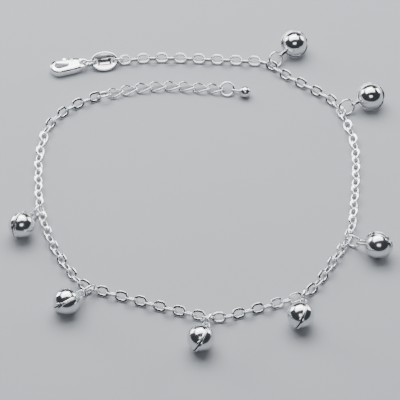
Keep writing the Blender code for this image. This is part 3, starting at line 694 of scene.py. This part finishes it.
def haze_group():
    """Faint clouding left by the polishing wheel: how rough and how bright the metal is at each place."""
    tree, given, output = new_group(
        "ShaderNodeTree", "polishing haze",
        {**sockets("Float", "Scale", "Smoothest", "Roughest"), **sockets("Color", "Bright", "Dull")},
        {**sockets("Float", "Roughness"), **sockets("Color", "Colour")},
    )
    cloud = add_node(
        tree, "ShaderNodeTexNoise",
        {"Vector": object_place(tree), "Scale": given["Scale"], "Detail": 4.0, "Roughness": 0.6},
    )
    polish = add_node(
        tree, "ShaderNodeMapRange",
        {
            "Value": cloud, "From Min": HAZE_FROM, "From Max": HAZE_TO,
            "To Min": given["Smoothest"], "To Max": given["Roughest"],
        },
    )
    tone = add_node(tree, "ShaderNodeMix", {0: cloud, 6: given["Bright"], 7: given["Dull"]}, data_type="RGBA")
    feed(tree, polish, output["Roughness"])
    feed(tree, tone.outputs[2], output["Colour"])
    return tree


def scratches_group():
    """Hairline scratches from wear, in two crossing directions, as a height."""
    tree, given, output = new_group(
        "ShaderNodeTree", "hairline scratches", sockets("Float", "Scale", "Depth"), sockets("Float", "Height")
    )
    place = object_place(tree)
    lines = []
    for turn in SCRATCH_TURNS:
        stretched = add_node(
            tree, "ShaderNodeMapping", {"Vector": place, "Rotation": turn, "Scale": SCRATCH_STRETCH}
        )
        grain = add_node(
            tree, "ShaderNodeTexNoise",
            {"Vector": stretched, "Scale": given["Scale"], "Detail": 2.0, "Roughness": 0.5},
        )
        lines.append(add_node(
            tree, "ShaderNodeMapRange",
            {"Value": grain, "From Min": SCRATCH_FROM, "From Max": SCRATCH_TO, "To Min": 0.0, "To Max": 1.0},
        ))
    deeper = maths(tree, "MAXIMUM", *lines)
    feed(tree, maths(tree, "MULTIPLY", deeper, given["Depth"]), output["Height"])
    return tree


def new_material(name):
    """A new material with its tree and its shader's inputs."""
    material = bpy.data.materials.new(name)
    material.use_nodes = True
    return material, material.node_tree, material.node_tree.nodes["Principled BSDF"].inputs


def polished_silver(name, bright, dull, smoothest, roughest, haze_scale, scratch_depth, groups):
    """A silver finish with its own tones, polish, haze and wear."""
    material, tree, shader = new_material(name)
    shader["Metallic"].default_value = 1.0
    haze = add_node(
        tree, "ShaderNodeGroup",
        {"Scale": haze_scale, "Smoothest": smoothest, "Roughest": roughest, "Bright": bright, "Dull": dull},
        node_tree=groups["haze"],
    )
    wear = add_node(
        tree, "ShaderNodeGroup", {"Scale": SCRATCH_SCALE, "Depth": scratch_depth},
        node_tree=groups["scratches"],
    )
    bump = add_node(
        tree, "ShaderNodeBump",
        {"Height": wear, "Strength": SCRATCH_STRENGTH, "Distance": SCRATCH_HEIGHT * MM}, invert=True,
    )
    feed(tree, haze.outputs["Colour"], shader["Base Color"])
    feed(tree, haze.outputs["Roughness"], shader["Roughness"])
    feed(tree, bump, shader["Normal"])
    return material


def floor_material():
    """Pale matt studio paper."""
    material, tree, shader = new_material("pale studio paper")
    shader["Base Color"].default_value = PAPER_TONE
    shader["Roughness"].default_value = PAPER_ROUGHNESS
    grain = add_node(
        tree, "ShaderNodeTexNoise",
        {"Vector": object_place(tree), "Scale": PAPER_GRAIN_SCALE, "Detail": 3.0},
    )
    bump = add_node(
        tree, "ShaderNodeBump",
        {"Height": grain, "Strength": PAPER_GRAIN_STRENGTH, "Distance": PAPER_GRAIN_HEIGHT * MM},
    )
    feed(tree, bump, shader["Normal"])
    return material


# Pieces

def ease(value, start, end):
    """A smooth step from 0 at `start` to 1 at `end`."""
    share = min(max((value - start) / (end - start), 0.0), 1.0)
    return share * share * (3 - 2 * share)


def cup_profile(turn):
    """One cup's cut face at one angle round the seam, as (radius, height), from outer pole to inner pole."""
    off = abs(math.pi - turn)
    mouth = ease(off, MOUTH_HALF_ANGLE + MOUTH_EASE, MOUTH_HALF_ANGLE - MOUTH_EASE)
    lip = ease(off, LIP_HALF_ANGLE + LIP_EASE, LIP_HALF_ANGLE - LIP_EASE)
    low = SEAM_GAP / 2 + (MOUTH_GAP - SEAM_GAP) / 2 * mouth
    reach = FLANGE_REACH * (1 - mouth) + LIP_REACH * lip + MOUTH_EDGE_REACH * mouth * (1 - lip)
    top = low + FLANGE_SHEET + (LIP_THICKNESS - FLANGE_SHEET) * lip
    fillet = min(FLANGE_FILLET, reach * 0.4)
    rounding = min(FLANGE_ROUNDING, reach * 0.4)
    last = math.asin((top + fillet) / BELL_RADIUS)
    points = [
        (BELL_RADIUS * math.cos(a), BELL_RADIUS * math.sin(a))
        for a in (math.pi / 2 + (last - math.pi / 2) * i / BELL_ROWS for i in range(BELL_ROWS + 1))
    ]
    start = points[-1]
    root = (math.sqrt(BELL_RADIUS ** 2 - top ** 2), top)
    end = (root[0] + fillet, top)
    for t in (0.3, 0.65, 1.0):
        points.append(tuple(
            (1 - t) ** 2 * a + 2 * t * (1 - t) * b + t * t * c for a, b, c in zip(start, root, end)
        ))
    edge = BELL_RADIUS + reach
    points += [(edge - rounding, top), (edge - rounding * 0.3, top - rounding * 0.3), (edge, top - rounding)]
    points += [(edge, low + rounding * 0.5), (edge - rounding * 0.5, low)]
    inside = BELL_RADIUS - BELL_WALL
    first = math.asin(low / inside)
    rows = BELL_ROWS // 2
    points += [
        (inside * math.cos(a), inside * math.sin(a))
        for a in (first + (math.pi / 2 - first) * i / rows for i in range(rows + 1))
    ]
    points[0] = (0.0, BELL_RADIUS)
    points[-1] = (0.0, inside)
    return points


def bell_mesh():
    """Two folded cups with their flange, flared mouth and strip bail."""
    mesh = bmesh.new()
    for side in (1, -1):
        columns = []
        for i in range(BELL_COLUMNS):
            turn = 2 * math.pi * (i + 0.5) / BELL_COLUMNS
            columns.append([
                mesh.verts.new((r * math.cos(turn), r * math.sin(turn), side * z))
                for r, z in cup_profile(turn)
            ])
        for first, second in zip(columns, columns[1:] + columns[:1]):
            for k in range(len(first) - 1):
                mesh.faces.new((first[k], second[k], second[k + 1], first[k + 1]))
    radius = (BAIL_GAP + BAIL_STRIP) / 2
    length = BAIL_REACH + BAIL_ROOT
    place = Matrix.Translation((BELL_RADIUS - BAIL_ROOT + length / 2, 0, 0))
    place = place @ Matrix.Rotation(math.pi / 2, 4, "X")
    section = rounded_section(BAIL_STRIP, BAIL_WIDTH, BAIL_CORNER)
    add_loop(mesh, length - 2 * radius - BAIL_STRIP, radius, section, 40, place)
    return finished_mesh("bell", mesh)


def drop_mesh():
    """The ball with its collar and long wire eye, drawn about the middle of the eye."""
    reach = DROP_EYE_LENGTH / 2 + BALL_DIAMETER / 2 - DROP_SINK
    ball = BALL_DIAMETER / 2
    mesh = bmesh.new()
    place = Matrix.Translation((reach, 0, 0)) @ Matrix.Rotation(math.pi / 2, 4, "Y")
    bmesh.ops.create_uvsphere(mesh, u_segments=64, v_segments=40, radius=ball, matrix=place)
    start = reach - math.sqrt(ball ** 2 - COLLAR_RADIUS ** 2)
    collar = []
    for x, radius in (
        (start + COLLAR_SINK, COLLAR_RADIUS), (start - COLLAR_REACH * 0.6, COLLAR_RADIUS),
        (start - COLLAR_REACH * 0.9, COLLAR_RADIUS * 0.9), (start - COLLAR_REACH, COLLAR_RADIUS * 0.72),
    ):
        collar.append([mesh.verts.new((x, y, z)) for y, z in oval(radius, radius, 40)])
    skin(mesh, collar)
    mesh.faces.new(collar[0])
    mesh.faces.new(collar[-1])
    section = rounded_section(DROP_WIRE, DROP_WIRE, DROP_WIRE / 2)
    radius = (DROP_EYE_WIDTH - DROP_WIRE) / 2
    add_loop(mesh, DROP_EYE_LENGTH - DROP_EYE_WIDTH, radius, section, 48, Matrix.Identity(4))
    return finished_mesh("ball_and_eye", mesh)


def tag_mesh():
    """An oval plate with a rounded raised rim, a sunk bare panel and a ring hole at each end."""
    length, width, top = TAG_LENGTH / 2, TAG_WIDTH / 2, TAG_THICKNESS / 2
    bite = TAG_ROUNDING
    steps = [
        (-bite, -top), (-bite * 0.3, -top + bite * 0.3), (0, -top + bite), (0, top - bite),
        (-bite * 0.3, top - bite * 0.3), (-bite, top), (-TAG_RIM + bite, top),
        (-TAG_RIM + bite * 0.3, top - bite * 0.3), (-TAG_RIM, top - bite),
        (-TAG_RIM - TAG_RIM_DRAFT, top - TAG_RIM_HEIGHT),
    ]
    plate = prism_mesh([(oval(length + offset, width + offset, 72), height) for offset, height in steps])
    floor = top - TAG_RIM_HEIGHT
    half_length, half_width = TAG_PANEL_LENGTH / 2, TAG_PANEL_WIDTH / 2
    cuts = [("DIFFERENCE", box_mesh(
        (-half_length, -half_width, floor - TAG_PANEL_DEPTH), (half_length, half_width, TAG_THICKNESS)
    ))]
    for side in (-1, 1):
        place = (side * (TAG_LENGTH / 2 - TAG_HOLE_INSET), 0)
        cuts.append(("DIFFERENCE", round_mesh(place, TAG_HOLE_DIAMETER / 2, -TAG_THICKNESS, TAG_THICKNESS)))
    data = worked_mesh(plate, cuts, [("BEVEL", {
        "width": TAG_EDGE_BREAK * MM, "segments": 2, "limit_method": "ANGLE", "angle_limit": math.radians(60),
    })])
    data.set_sharp_from_angle(angle=math.radians(40))
    return data


def clasp_places():
    """Where the clasp's gate, pivot and lever tip are, in its own plane."""
    gate_end = CLASP_SPAN / 2 + (CLASP_HOOK_RADIUS - HOOK_WALL) * GATE_SHARE_OF_HOOK
    gate_start = gate_end - GATE_LENGTH
    pivot = Vector((gate_start - PIVOT_BACK, PIVOT_SIDE, 0))
    tip = Vector((gate_end - LEVER_GAP - LEVER_TIP_WIDTH / 2, TIP_SIDE, 0))
    return gate_start, gate_end, pivot, tip


def clasp_outline(offset):
    """The clasp's outline round its hook, belly and tail circles, moved outwards by `offset`."""
    half = CLASP_SPAN / 2
    circles = [(half, CLASP_HOOK_RADIUS), (CLASP_BELLY_PLACE, CLASP_BELLY_RADIUS), (-half, CLASP_TAIL_RADIUS)]
    front, rear = [
        math.acos((second[1] - first[1]) / (first[0] - second[0]))
        for first, second in zip(circles, circles[1:])
    ]
    points = []
    for circle, start, end, steps in (
        (0, -front, front, 44), (1, front, rear, 8),
        (2, rear, 2 * math.pi - rear, 36), (1, 2 * math.pi - rear, 2 * math.pi - front, 8),
    ):
        centre, radius = circles[circle]
        for i in range(steps):
            angle = start + (end - start) * i / (steps - 1)
            points.append((centre + (radius + offset) * math.cos(angle), (radius + offset) * math.sin(angle)))
    return points


def other_hand(data):
    """A mesh turned into its own mirror image across its length."""
    data.transform(Matrix.Diagonal((1, -1, 1, 1)))
    data.flip_normals()
    return data


def cast_finish(passes):
    """Modifiers that round a cut shape as a polished casting is."""
    return [
        ("REMESH", {"mode": "VOXEL", "voxel_size": CAST_GRAIN * MM, "use_smooth_shade": True}),
        ("SMOOTH", {"factor": 0.5, "iterations": passes}),
    ]


def clasp_body_mesh():
    """The clasp's cast body with its hook, gate, lever slot, pin hole and thinner tail eye."""
    tall = CLASP_THICKNESS
    steps = CLASP_FOOT + [(offset, tall + rise) for offset, rise in CLASP_CROWN]
    body = prism_mesh([(clasp_outline(offset), height) for offset, height in steps])
    gate_start, gate_end, pivot, _ = clasp_places()
    hole = [
        (x + (CLASP_SPAN - HOOK_HOLE_SPAN) / 2, y)
        for x, y in loop_outline(HOOK_HOLE_SPAN, HOOK_HOLE_NARROW / 2, CLASP_HOOK_RADIUS - HOOK_WALL, 64)
    ]
    middle = tall / 2
    slot = LEVER_THICKNESS / 2 + LEVER_GAP
    swing = LEVER_BOSS_DIAMETER / 2 + LEVER_GAP
    room = PIVOT_SIDE - swing - PIVOT_BACK * math.sin(LEVER_OPENING)
    tail = -CLASP_SPAN / 2 - CLASP_TAIL_RADIUS
    eye_low = middle + EYE_RISE - EYE_THICKNESS / 2
    wide = CLASP_HOOK_RADIUS * 2
    cuts = [
        prism_mesh([(hole, -tall), (hole, 2 * tall)]),
        box_mesh((gate_start, GATE_DEPTH, -tall), (gate_end, wide, 2 * tall)),
        box_mesh((pivot.x - swing, room, middle - slot), (gate_start + LEVER_GAP, wide, middle + slot)),
        round_mesh(pivot, PIN_DIAMETER / 2 + PIN_CLEARANCE / 2, -tall, 2 * tall),
        round_mesh((tail + EYE_INSET, 0), EYE_HOLE_DIAMETER / 2, -tall, 2 * tall),
        box_mesh((tail - tall, -wide, -tall), (tail + EYE_LENGTH, wide, eye_low)),
        box_mesh((tail - tall, -wide, eye_low + EYE_THICKNESS), (tail + EYE_LENGTH, wide, 2 * tall)),
    ]
    return worked_mesh(body, [("DIFFERENCE", cut) for cut in cuts], cast_finish(6))


def lever_mesh():
    """The sprung lever with its boss, arm and thumb nub, drawn about its pivot."""
    _, _, pivot, tip = clasp_places()
    arm = tip - pivot
    turn = math.atan2(arm.y, arm.x)
    half = LEVER_THICKNESS / 2
    cosine, sine = math.cos(turn), math.sin(turn)
    outline = [
        ((x + arm.length / 2) * cosine - y * sine, (x + arm.length / 2) * sine + y * cosine)
        for x, y in loop_outline(arm.length, LEVER_BOSS_DIAMETER / 2, LEVER_TIP_WIDTH / 2, 48)
    ]
    bar = prism_mesh([(outline, -half), (outline, half)])
    nub = [
        (NUB_FORWARD - y, x + (NUB_REACH + NUB_WIDTH) / 2)
        for x, y in loop_outline(NUB_REACH - NUB_WIDTH, NUB_WIDTH / 2, NUB_WIDTH / 2 * NUB_TAPER, 40)
    ]
    thumb = prism_mesh([(nub, -NUB_THICKNESS / 2), (nub, NUB_THICKNESS / 2)])
    bore = round_mesh((0, 0), PIN_DIAMETER / 2 + PIN_CLEARANCE / 2, -2 * half, 2 * half)
    return worked_mesh(bar, [("UNION", thumb), ("DIFFERENCE", bore)], cast_finish(4))


def pin_mesh():
    """The pivot pin with slightly domed, rounded ends."""
    middle, radius = CLASP_THICKNESS / 2, PIN_DIAMETER / 2
    steps = [(offset, LEVER_GAP - middle + rise) for offset, rise in PIN_FOOT]
    steps += [(offset, middle + rise) for offset, rise in PIN_CROWN]
    return prism_mesh([(oval(radius + offset, radius + offset, 36), height) for offset, height in steps])


# Placing

def build_chain_and_extender(plan, links, move, tree, silver):
    """Both runs of links, grown along the route."""
    radius = (LINK_WIDTH - LINK_STRIP_SHOWN) / 2
    chain = grown_mesh(
        tree, [move @ place.translation for place in links], "heading", "FLOAT_VECTOR",
        [place.col[0].xyz for place in links],
        {
            "Round radius": radius * MM, "Narrow radius": radius * MM, "Gap": (LINK_LENGTH - LINK_WIDTH) * MM,
            "Strip width": LINK_STRIP_SHOWN * MM, "Strip thickness": LINK_THICKNESS * MM,
            "Corner": LINK_CORNER * MM, "Corner steps": 2, "Outline steps": 32,
            "Roll": LINK_ROLL, "Twist": 0.0, "Material": silver["chain"],
        },
    )
    show("chain_of_flat_links", chain, silver["chain"], "silver_chain", STAY, "chain")

    left = (EXTENDER_ROUND_WIDTH - EXTENDER_WIRE) / 2
    right = (EXTENDER_NARROW_WIDTH - EXTENDER_WIRE) / 2
    spots, headings = [], []
    for i, (kind, point) in enumerate(plan):
        if kind == "extender":
            heading = heading_at(plan, i)
            along = Vector((*heading, 0.0))
            spots.append(move @ (Vector((*point, 0.0)) + along * (left - right) / 2))
            headings.append(along)
    extender = grown_mesh(
        tree, spots, "heading", "FLOAT_VECTOR", headings,
        {
            "Round radius": left * MM, "Narrow radius": right * MM,
            "Gap": (EXTENDER_LENGTH - EXTENDER_WIRE - left - right) * MM,
            "Strip width": EXTENDER_WIRE_ROUND * MM, "Strip thickness": EXTENDER_WIRE_ROUND * MM,
            "Corner": EXTENDER_CORNER * MM, "Corner steps": 3, "Outline steps": 60,
            "Roll": 0.0, "Twist": -2 * LINK_ROLL * lean_of_end(plan), "Material": silver["chain"],
        },
    )
    extender.transform(Matrix.Translation((0, 0, -lowest(extender, Matrix.Identity(4)) * MM)))
    show("extender_of_twisted_links", extender, silver["chain"], "silver_chain", STAY, "extender_chain")


def rings(name, places, diameter, tree, silver, *nodes):
    """One size of jump ring at all its places."""
    data = grown_mesh(
        tree, [place.translation for place in places], "turn", "QUATERNION",
        [place.to_quaternion() for place in places],
        {
            "Ring radius": (diameter - RING_WIRE) / 2 * MM, "Wire radius": RING_WIRE / 2 * MM,
            "Slit": RING_SLIT, "Slit place": RING_SLIT_PLACE, "Ring steps": 64, "Wire steps": 16,
            "Material": silver["rings"],
        },
    )
    show(name, data, silver["rings"], "silver_rings", STAY, *nodes)


def bell_places(links, shell):
    """The frames of each bell's ring and of the bell that hangs from it, by name."""
    radius = (BELL_RING_DIAMETER - RING_WIRE) / 2
    hang = BELL_RADIUS + BAIL_REACH - BAIL_STRIP - RING_WIRE / 2 - BAIL_CLEARANCE
    places = {}
    for name, spot, way, lean, twist in BELLS:
        side = Vector((*way, 0)).normalized()
        rising = [place for place in links if rises_to(place, side)]
        hook = min(rising, key=lambda place: (place.translation.xy - Vector(spot)).length).translation
        up = Matrix.Rotation(math.radians(lean), 3, side) @ Vector((0, 0, 1))
        centre_height = radius * up.z + RING_WIRE / 2
        fall = (centre_height - hook.z) / up.z
        centre = hook + side * math.sqrt(radius ** 2 - fall ** 2) + up * fall
        ring = Matrix.Translation(centre) @ Matrix((side, up, side.cross(up))).transposed().to_4x4()
        swing = 0.0
        for _ in range(4):
            out = side * math.cos(swing) + up * math.sin(swing)
            level = up * math.cos(swing) - side * math.sin(swing)
            across = Matrix.Rotation(math.radians(twist), 3, out) @ level
            turn = Matrix((-out, across, (-out).cross(across))).transposed().to_4x4()
            swing = math.asin((-lowest(shell, turn) - centre_height) / ((radius + hang) * up.z))
        places[name] = (ring, Matrix.Translation(centre + out * (radius + hang)) @ turn)
    return places


def build_bells(links, trees, silver):
    """The bells, their rings and their pellets. Returns the move from the route's frame to the anklet's."""
    shell = bell_mesh()
    places = bell_places(links, shell)
    low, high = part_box("bell_ring_4")
    shift = (low + high) / 2 / MM - places["4"][0].translation
    shift.z = 0.0
    move = Matrix.Translation(shift)
    drop = Vector((0, 0, BELL_RADIUS - BELL_WALL - PELLET_DIAMETER / 2 - PELLET_REST))
    names = [name for name, *_ in BELLS]
    for name in names:
        bell = placed(shell, move @ places[name][1])
        show(f"silver_bell_{name}", bell, silver["bells"], "silver_bells", STAY, f"bell_{name}")
    ring_places = [move @ places[name][0] for name in names]
    rings(
        "bell_jump_rings", ring_places, BELL_RING_DIAMETER, trees["rings"], silver,
        *[f"bell_ring_{name}" for name in names],
    )
    spots = [places[name][1].translation - drop + shift for name in names]
    pellets = grown_mesh(
        trees["pellets"], spots, "turn", "QUATERNION", [Quaternion()] * len(spots),
        {"Radius": PELLET_DIAMETER / 2 * MM, "Material": silver["pellet"]},
    )
    nodes = [f"bell_pellet_{name}" for name in names]
    show("bell_pellets", pellets, silver["pellet"], "pellet", STAY, *nodes)
    return move


def build_tag_and_clasp(plan, links, move, trees, silver):
    """The tag, its ring, the clasp's ring and the clasp, each linked to the one before it."""
    heading = heading_at(plan, 0)
    roll = UPRIGHT_RING_ROLL
    along = Vector((*heading, 0))
    inset = LINK_LENGTH / 2 - LINK_STRIP - RING_WIRE / 2 - TAG_RING_CLEARANCE
    tag_ring = through_ring(links[0].translation - along * inset, heading, roll, TAG_RING_DIAMETER, 1)
    rings("tag_jump_ring", [move @ tag_ring], TAG_RING_DIAMETER, trees["rings"], silver, "tag_ring")

    tag = tag_mesh()
    height = -lowest(tag, route_matrix(Vector((0, 0)), heading, 0, TAG_TILT))
    reach = TAG_LENGTH / 2 - TAG_HOLE_INSET
    centre = ring_point(tag_ring, height, roll, TAG_RING_DIAMETER, -1) - along * reach
    place = route_matrix(centre, heading, height, TAG_TILT)
    show("oval_tag", placed(tag, move @ place), silver["tag"], "silver_tag", STAY, "tag")

    back = Vector((math.cos(CLASP_RING_TURN), math.sin(CLASP_RING_TURN)))
    clasp_ring = through_ring(centre - along * reach, back, -roll, CLASP_RING_DIAMETER, -1)
    rings("clasp_jump_ring", [move @ clasp_ring], CLASP_RING_DIAMETER, trees["rings"], silver, "clasp_ring")

    middle = CLASP_THICKNESS / 2
    eye = ring_point(clasp_ring, middle + EYE_RISE, -roll, CLASP_RING_DIAMETER, 1)
    way = Vector((math.cos(CLASP_TURN), math.sin(CLASP_TURN), 0))
    start = eye + way * (CLASP_SPAN / 2 + CLASP_TAIL_RADIUS - EYE_INSET)
    clasp = move @ Matrix.Translation((start.x, start.y, 0)) @ Matrix.Rotation(CLASP_TURN, 4, "Z")
    _, _, pivot, _ = clasp_places()
    at_pivot = clasp @ Matrix.Translation((pivot.x, -pivot.y, middle))
    casting, lever = other_hand(clasp_body_mesh()), other_hand(lever_mesh())
    show("clasp_casting", placed(casting, clasp), silver["clasp"], "silver_clasp", STAY, "clasp_body")
    show("sprung_lever", placed(lever, at_pivot), silver["clasp"], "silver_clasp", "lever", "clasp_lever")
    show("lever_pin", placed(pin_mesh(), at_pivot), silver["clasp"], "silver_clasp", STAY, "clasp_pin")


def build_extender_end(plan, move, trees, silver):
    """The rings at both ends of the extender and the ball drop."""
    for i, (kind, point) in enumerate(plan):
        if kind in ("start_ring", "end_ring"):
            roll = END_RING_ROLL * lean_of_end(plan) * (-1 if kind == "start_ring" else 1)
            height = ring_height(END_RING_DIAMETER, roll)
            place = move @ route_matrix(point, heading_at(plan, i), height, roll)
            name = f"extender_jump_{kind}"
            rings(name, [place], END_RING_DIAMETER, trees["rings"], silver, f"extender_{kind}")
    last = len(plan) - 1
    sag = ring_height(END_RING_DIAMETER, END_RING_ROLL) - BALL_DIAMETER / 2
    tilt = math.atan2(sag, DROP_EYE_LENGTH + BALL_DIAMETER / 2)
    place = route_matrix(plan[last][1], heading_at(plan, last), 0.0, 0.0)
    place = place @ Matrix.Rotation(tilt, 4, "Y") @ Matrix.Rotation(-DROP_ROLL * lean_of_end(plan), 4, "X")
    reach = DROP_EYE_LENGTH / 2 + BALL_DIAMETER / 2 - DROP_SINK
    place.translation.z = BALL_DIAMETER / 2 + reach * math.sin(tilt)
    drop = placed(drop_mesh(), move @ place)
    show("ball_and_eye", drop, silver["bells"], "silver_bells", STAY, "ball_drop")


# Studio

def soft_light(name, place, width, height, power, aim):
    """A rectangular soft light, placed in millimetres and aimed at a point."""
    light = bpy.data.lights.new(name, "AREA")
    light.shape = "RECTANGLE"
    light.size = width * MM
    light.size_y = height * MM
    light.energy = power
    obj = bpy.data.objects.new(name, light)
    obj.location = Vector(place) * MM
    obj.rotation_euler = (Vector(aim) - Vector(place)).to_track_quat("-Z", "Y").to_euler()
    bpy.context.scene.collection.objects.link(obj)


def set_studio(move):
    """The pale floor, the soft lights and the camera at the photograph's angle."""
    data = box_mesh((-PAPER_REACH, -PAPER_REACH, -PAPER_DEPTH), (PAPER_REACH, PAPER_REACH, 0))
    data.shade_flat()
    data.materials.append(floor_material())
    floor = bpy.data.objects.new("studio_floor", data)
    bpy.context.scene.collection.objects.link(floor)

    world = bpy.data.worlds.new("studio")
    world.use_nodes = True
    world.node_tree.nodes["Background"].inputs["Color"].default_value = ROOM_TONE
    world.node_tree.nodes["Background"].inputs["Strength"].default_value = ROOM_STRENGTH
    bpy.context.scene.world = world
    for light in SOFT_LIGHTS:
        soft_light(*light)

    target = move @ VIEW_TARGET
    camera = bpy.data.cameras.new("photograph's view")
    camera.sensor_width = SENSOR
    camera.lens = VIEW_LENS
    camera.clip_start = 0.01
    obj = bpy.data.objects.new("photograph's view", camera)
    back = Vector((0, -math.cos(VIEW_ELEVATION), math.sin(VIEW_ELEVATION)))
    obj.location = (target + back * VIEW_DISTANCE) * MM
    obj.rotation_euler = (math.pi / 2 - VIEW_ELEVATION, 0, 0)
    bpy.context.scene.collection.objects.link(obj)
    bpy.context.scene.camera = obj


def silver_finishes():
    """One finish for each kind of piece."""
    groups = {"haze": haze_group(), "scratches": scratches_group()}
    bright, cool = (0.9, 0.9, 0.91, 1), (0.82, 0.83, 0.85, 1)
    # The bells' two tones are a darker copy of the chain's silver: painted shade, so that the floor mirrored
    # in their lower halves reads darker than the floor round them.
    soft, bell_dull_with_painted_shade = (0.75, 0.75, 0.76, 1), (0.67, 0.68, 0.70, 1)
    steel = (0.5, 0.5, 0.51, 1)
    finishes = {
        "chain": ("silver of the chain", bright, cool, 0.09, 0.16, 400.0, 0.4),
        "bells": ("silver of the bells, darkened as painted shade", soft, bell_dull_with_painted_shade, 0.11, 0.19, 250.0, 0.35),
        "rings": ("silver of the rings", bright, cool, 0.07, 0.14, 500.0, 0.5),
        "clasp": ("silver of the clasp", bright, cool, 0.06, 0.12, 300.0, 0.5),
        "tag": ("silver of the tag", bright, cool, 0.1, 0.2, 350.0, 0.7),
        "pellet": ("steel of the pellets", steel, steel, 0.3, 0.45, 300.0, 0.3),
    }
    return {piece: polished_silver(*finish, groups) for piece, finish in finishes.items()}


def main():
    silver = silver_finishes()
    trees = {"links": links_tree(), "rings": rings_tree(), "pellets": pellets_tree()}
    plan = plan_route()
    links = [
        route_matrix(plan[i][1], heading_at(plan, i), link_height(), link_roll(i))
        for i, (kind, _) in enumerate(plan) if kind == "link"
    ]
    move = build_bells(links, trees, silver)
    build_chain_and_extender(plan, links, move, trees["links"], silver)
    build_tag_and_clasp(plan, links, move, trees, silver)
    build_extender_end(plan, move, trees, silver)
    set_studio(move)


main()
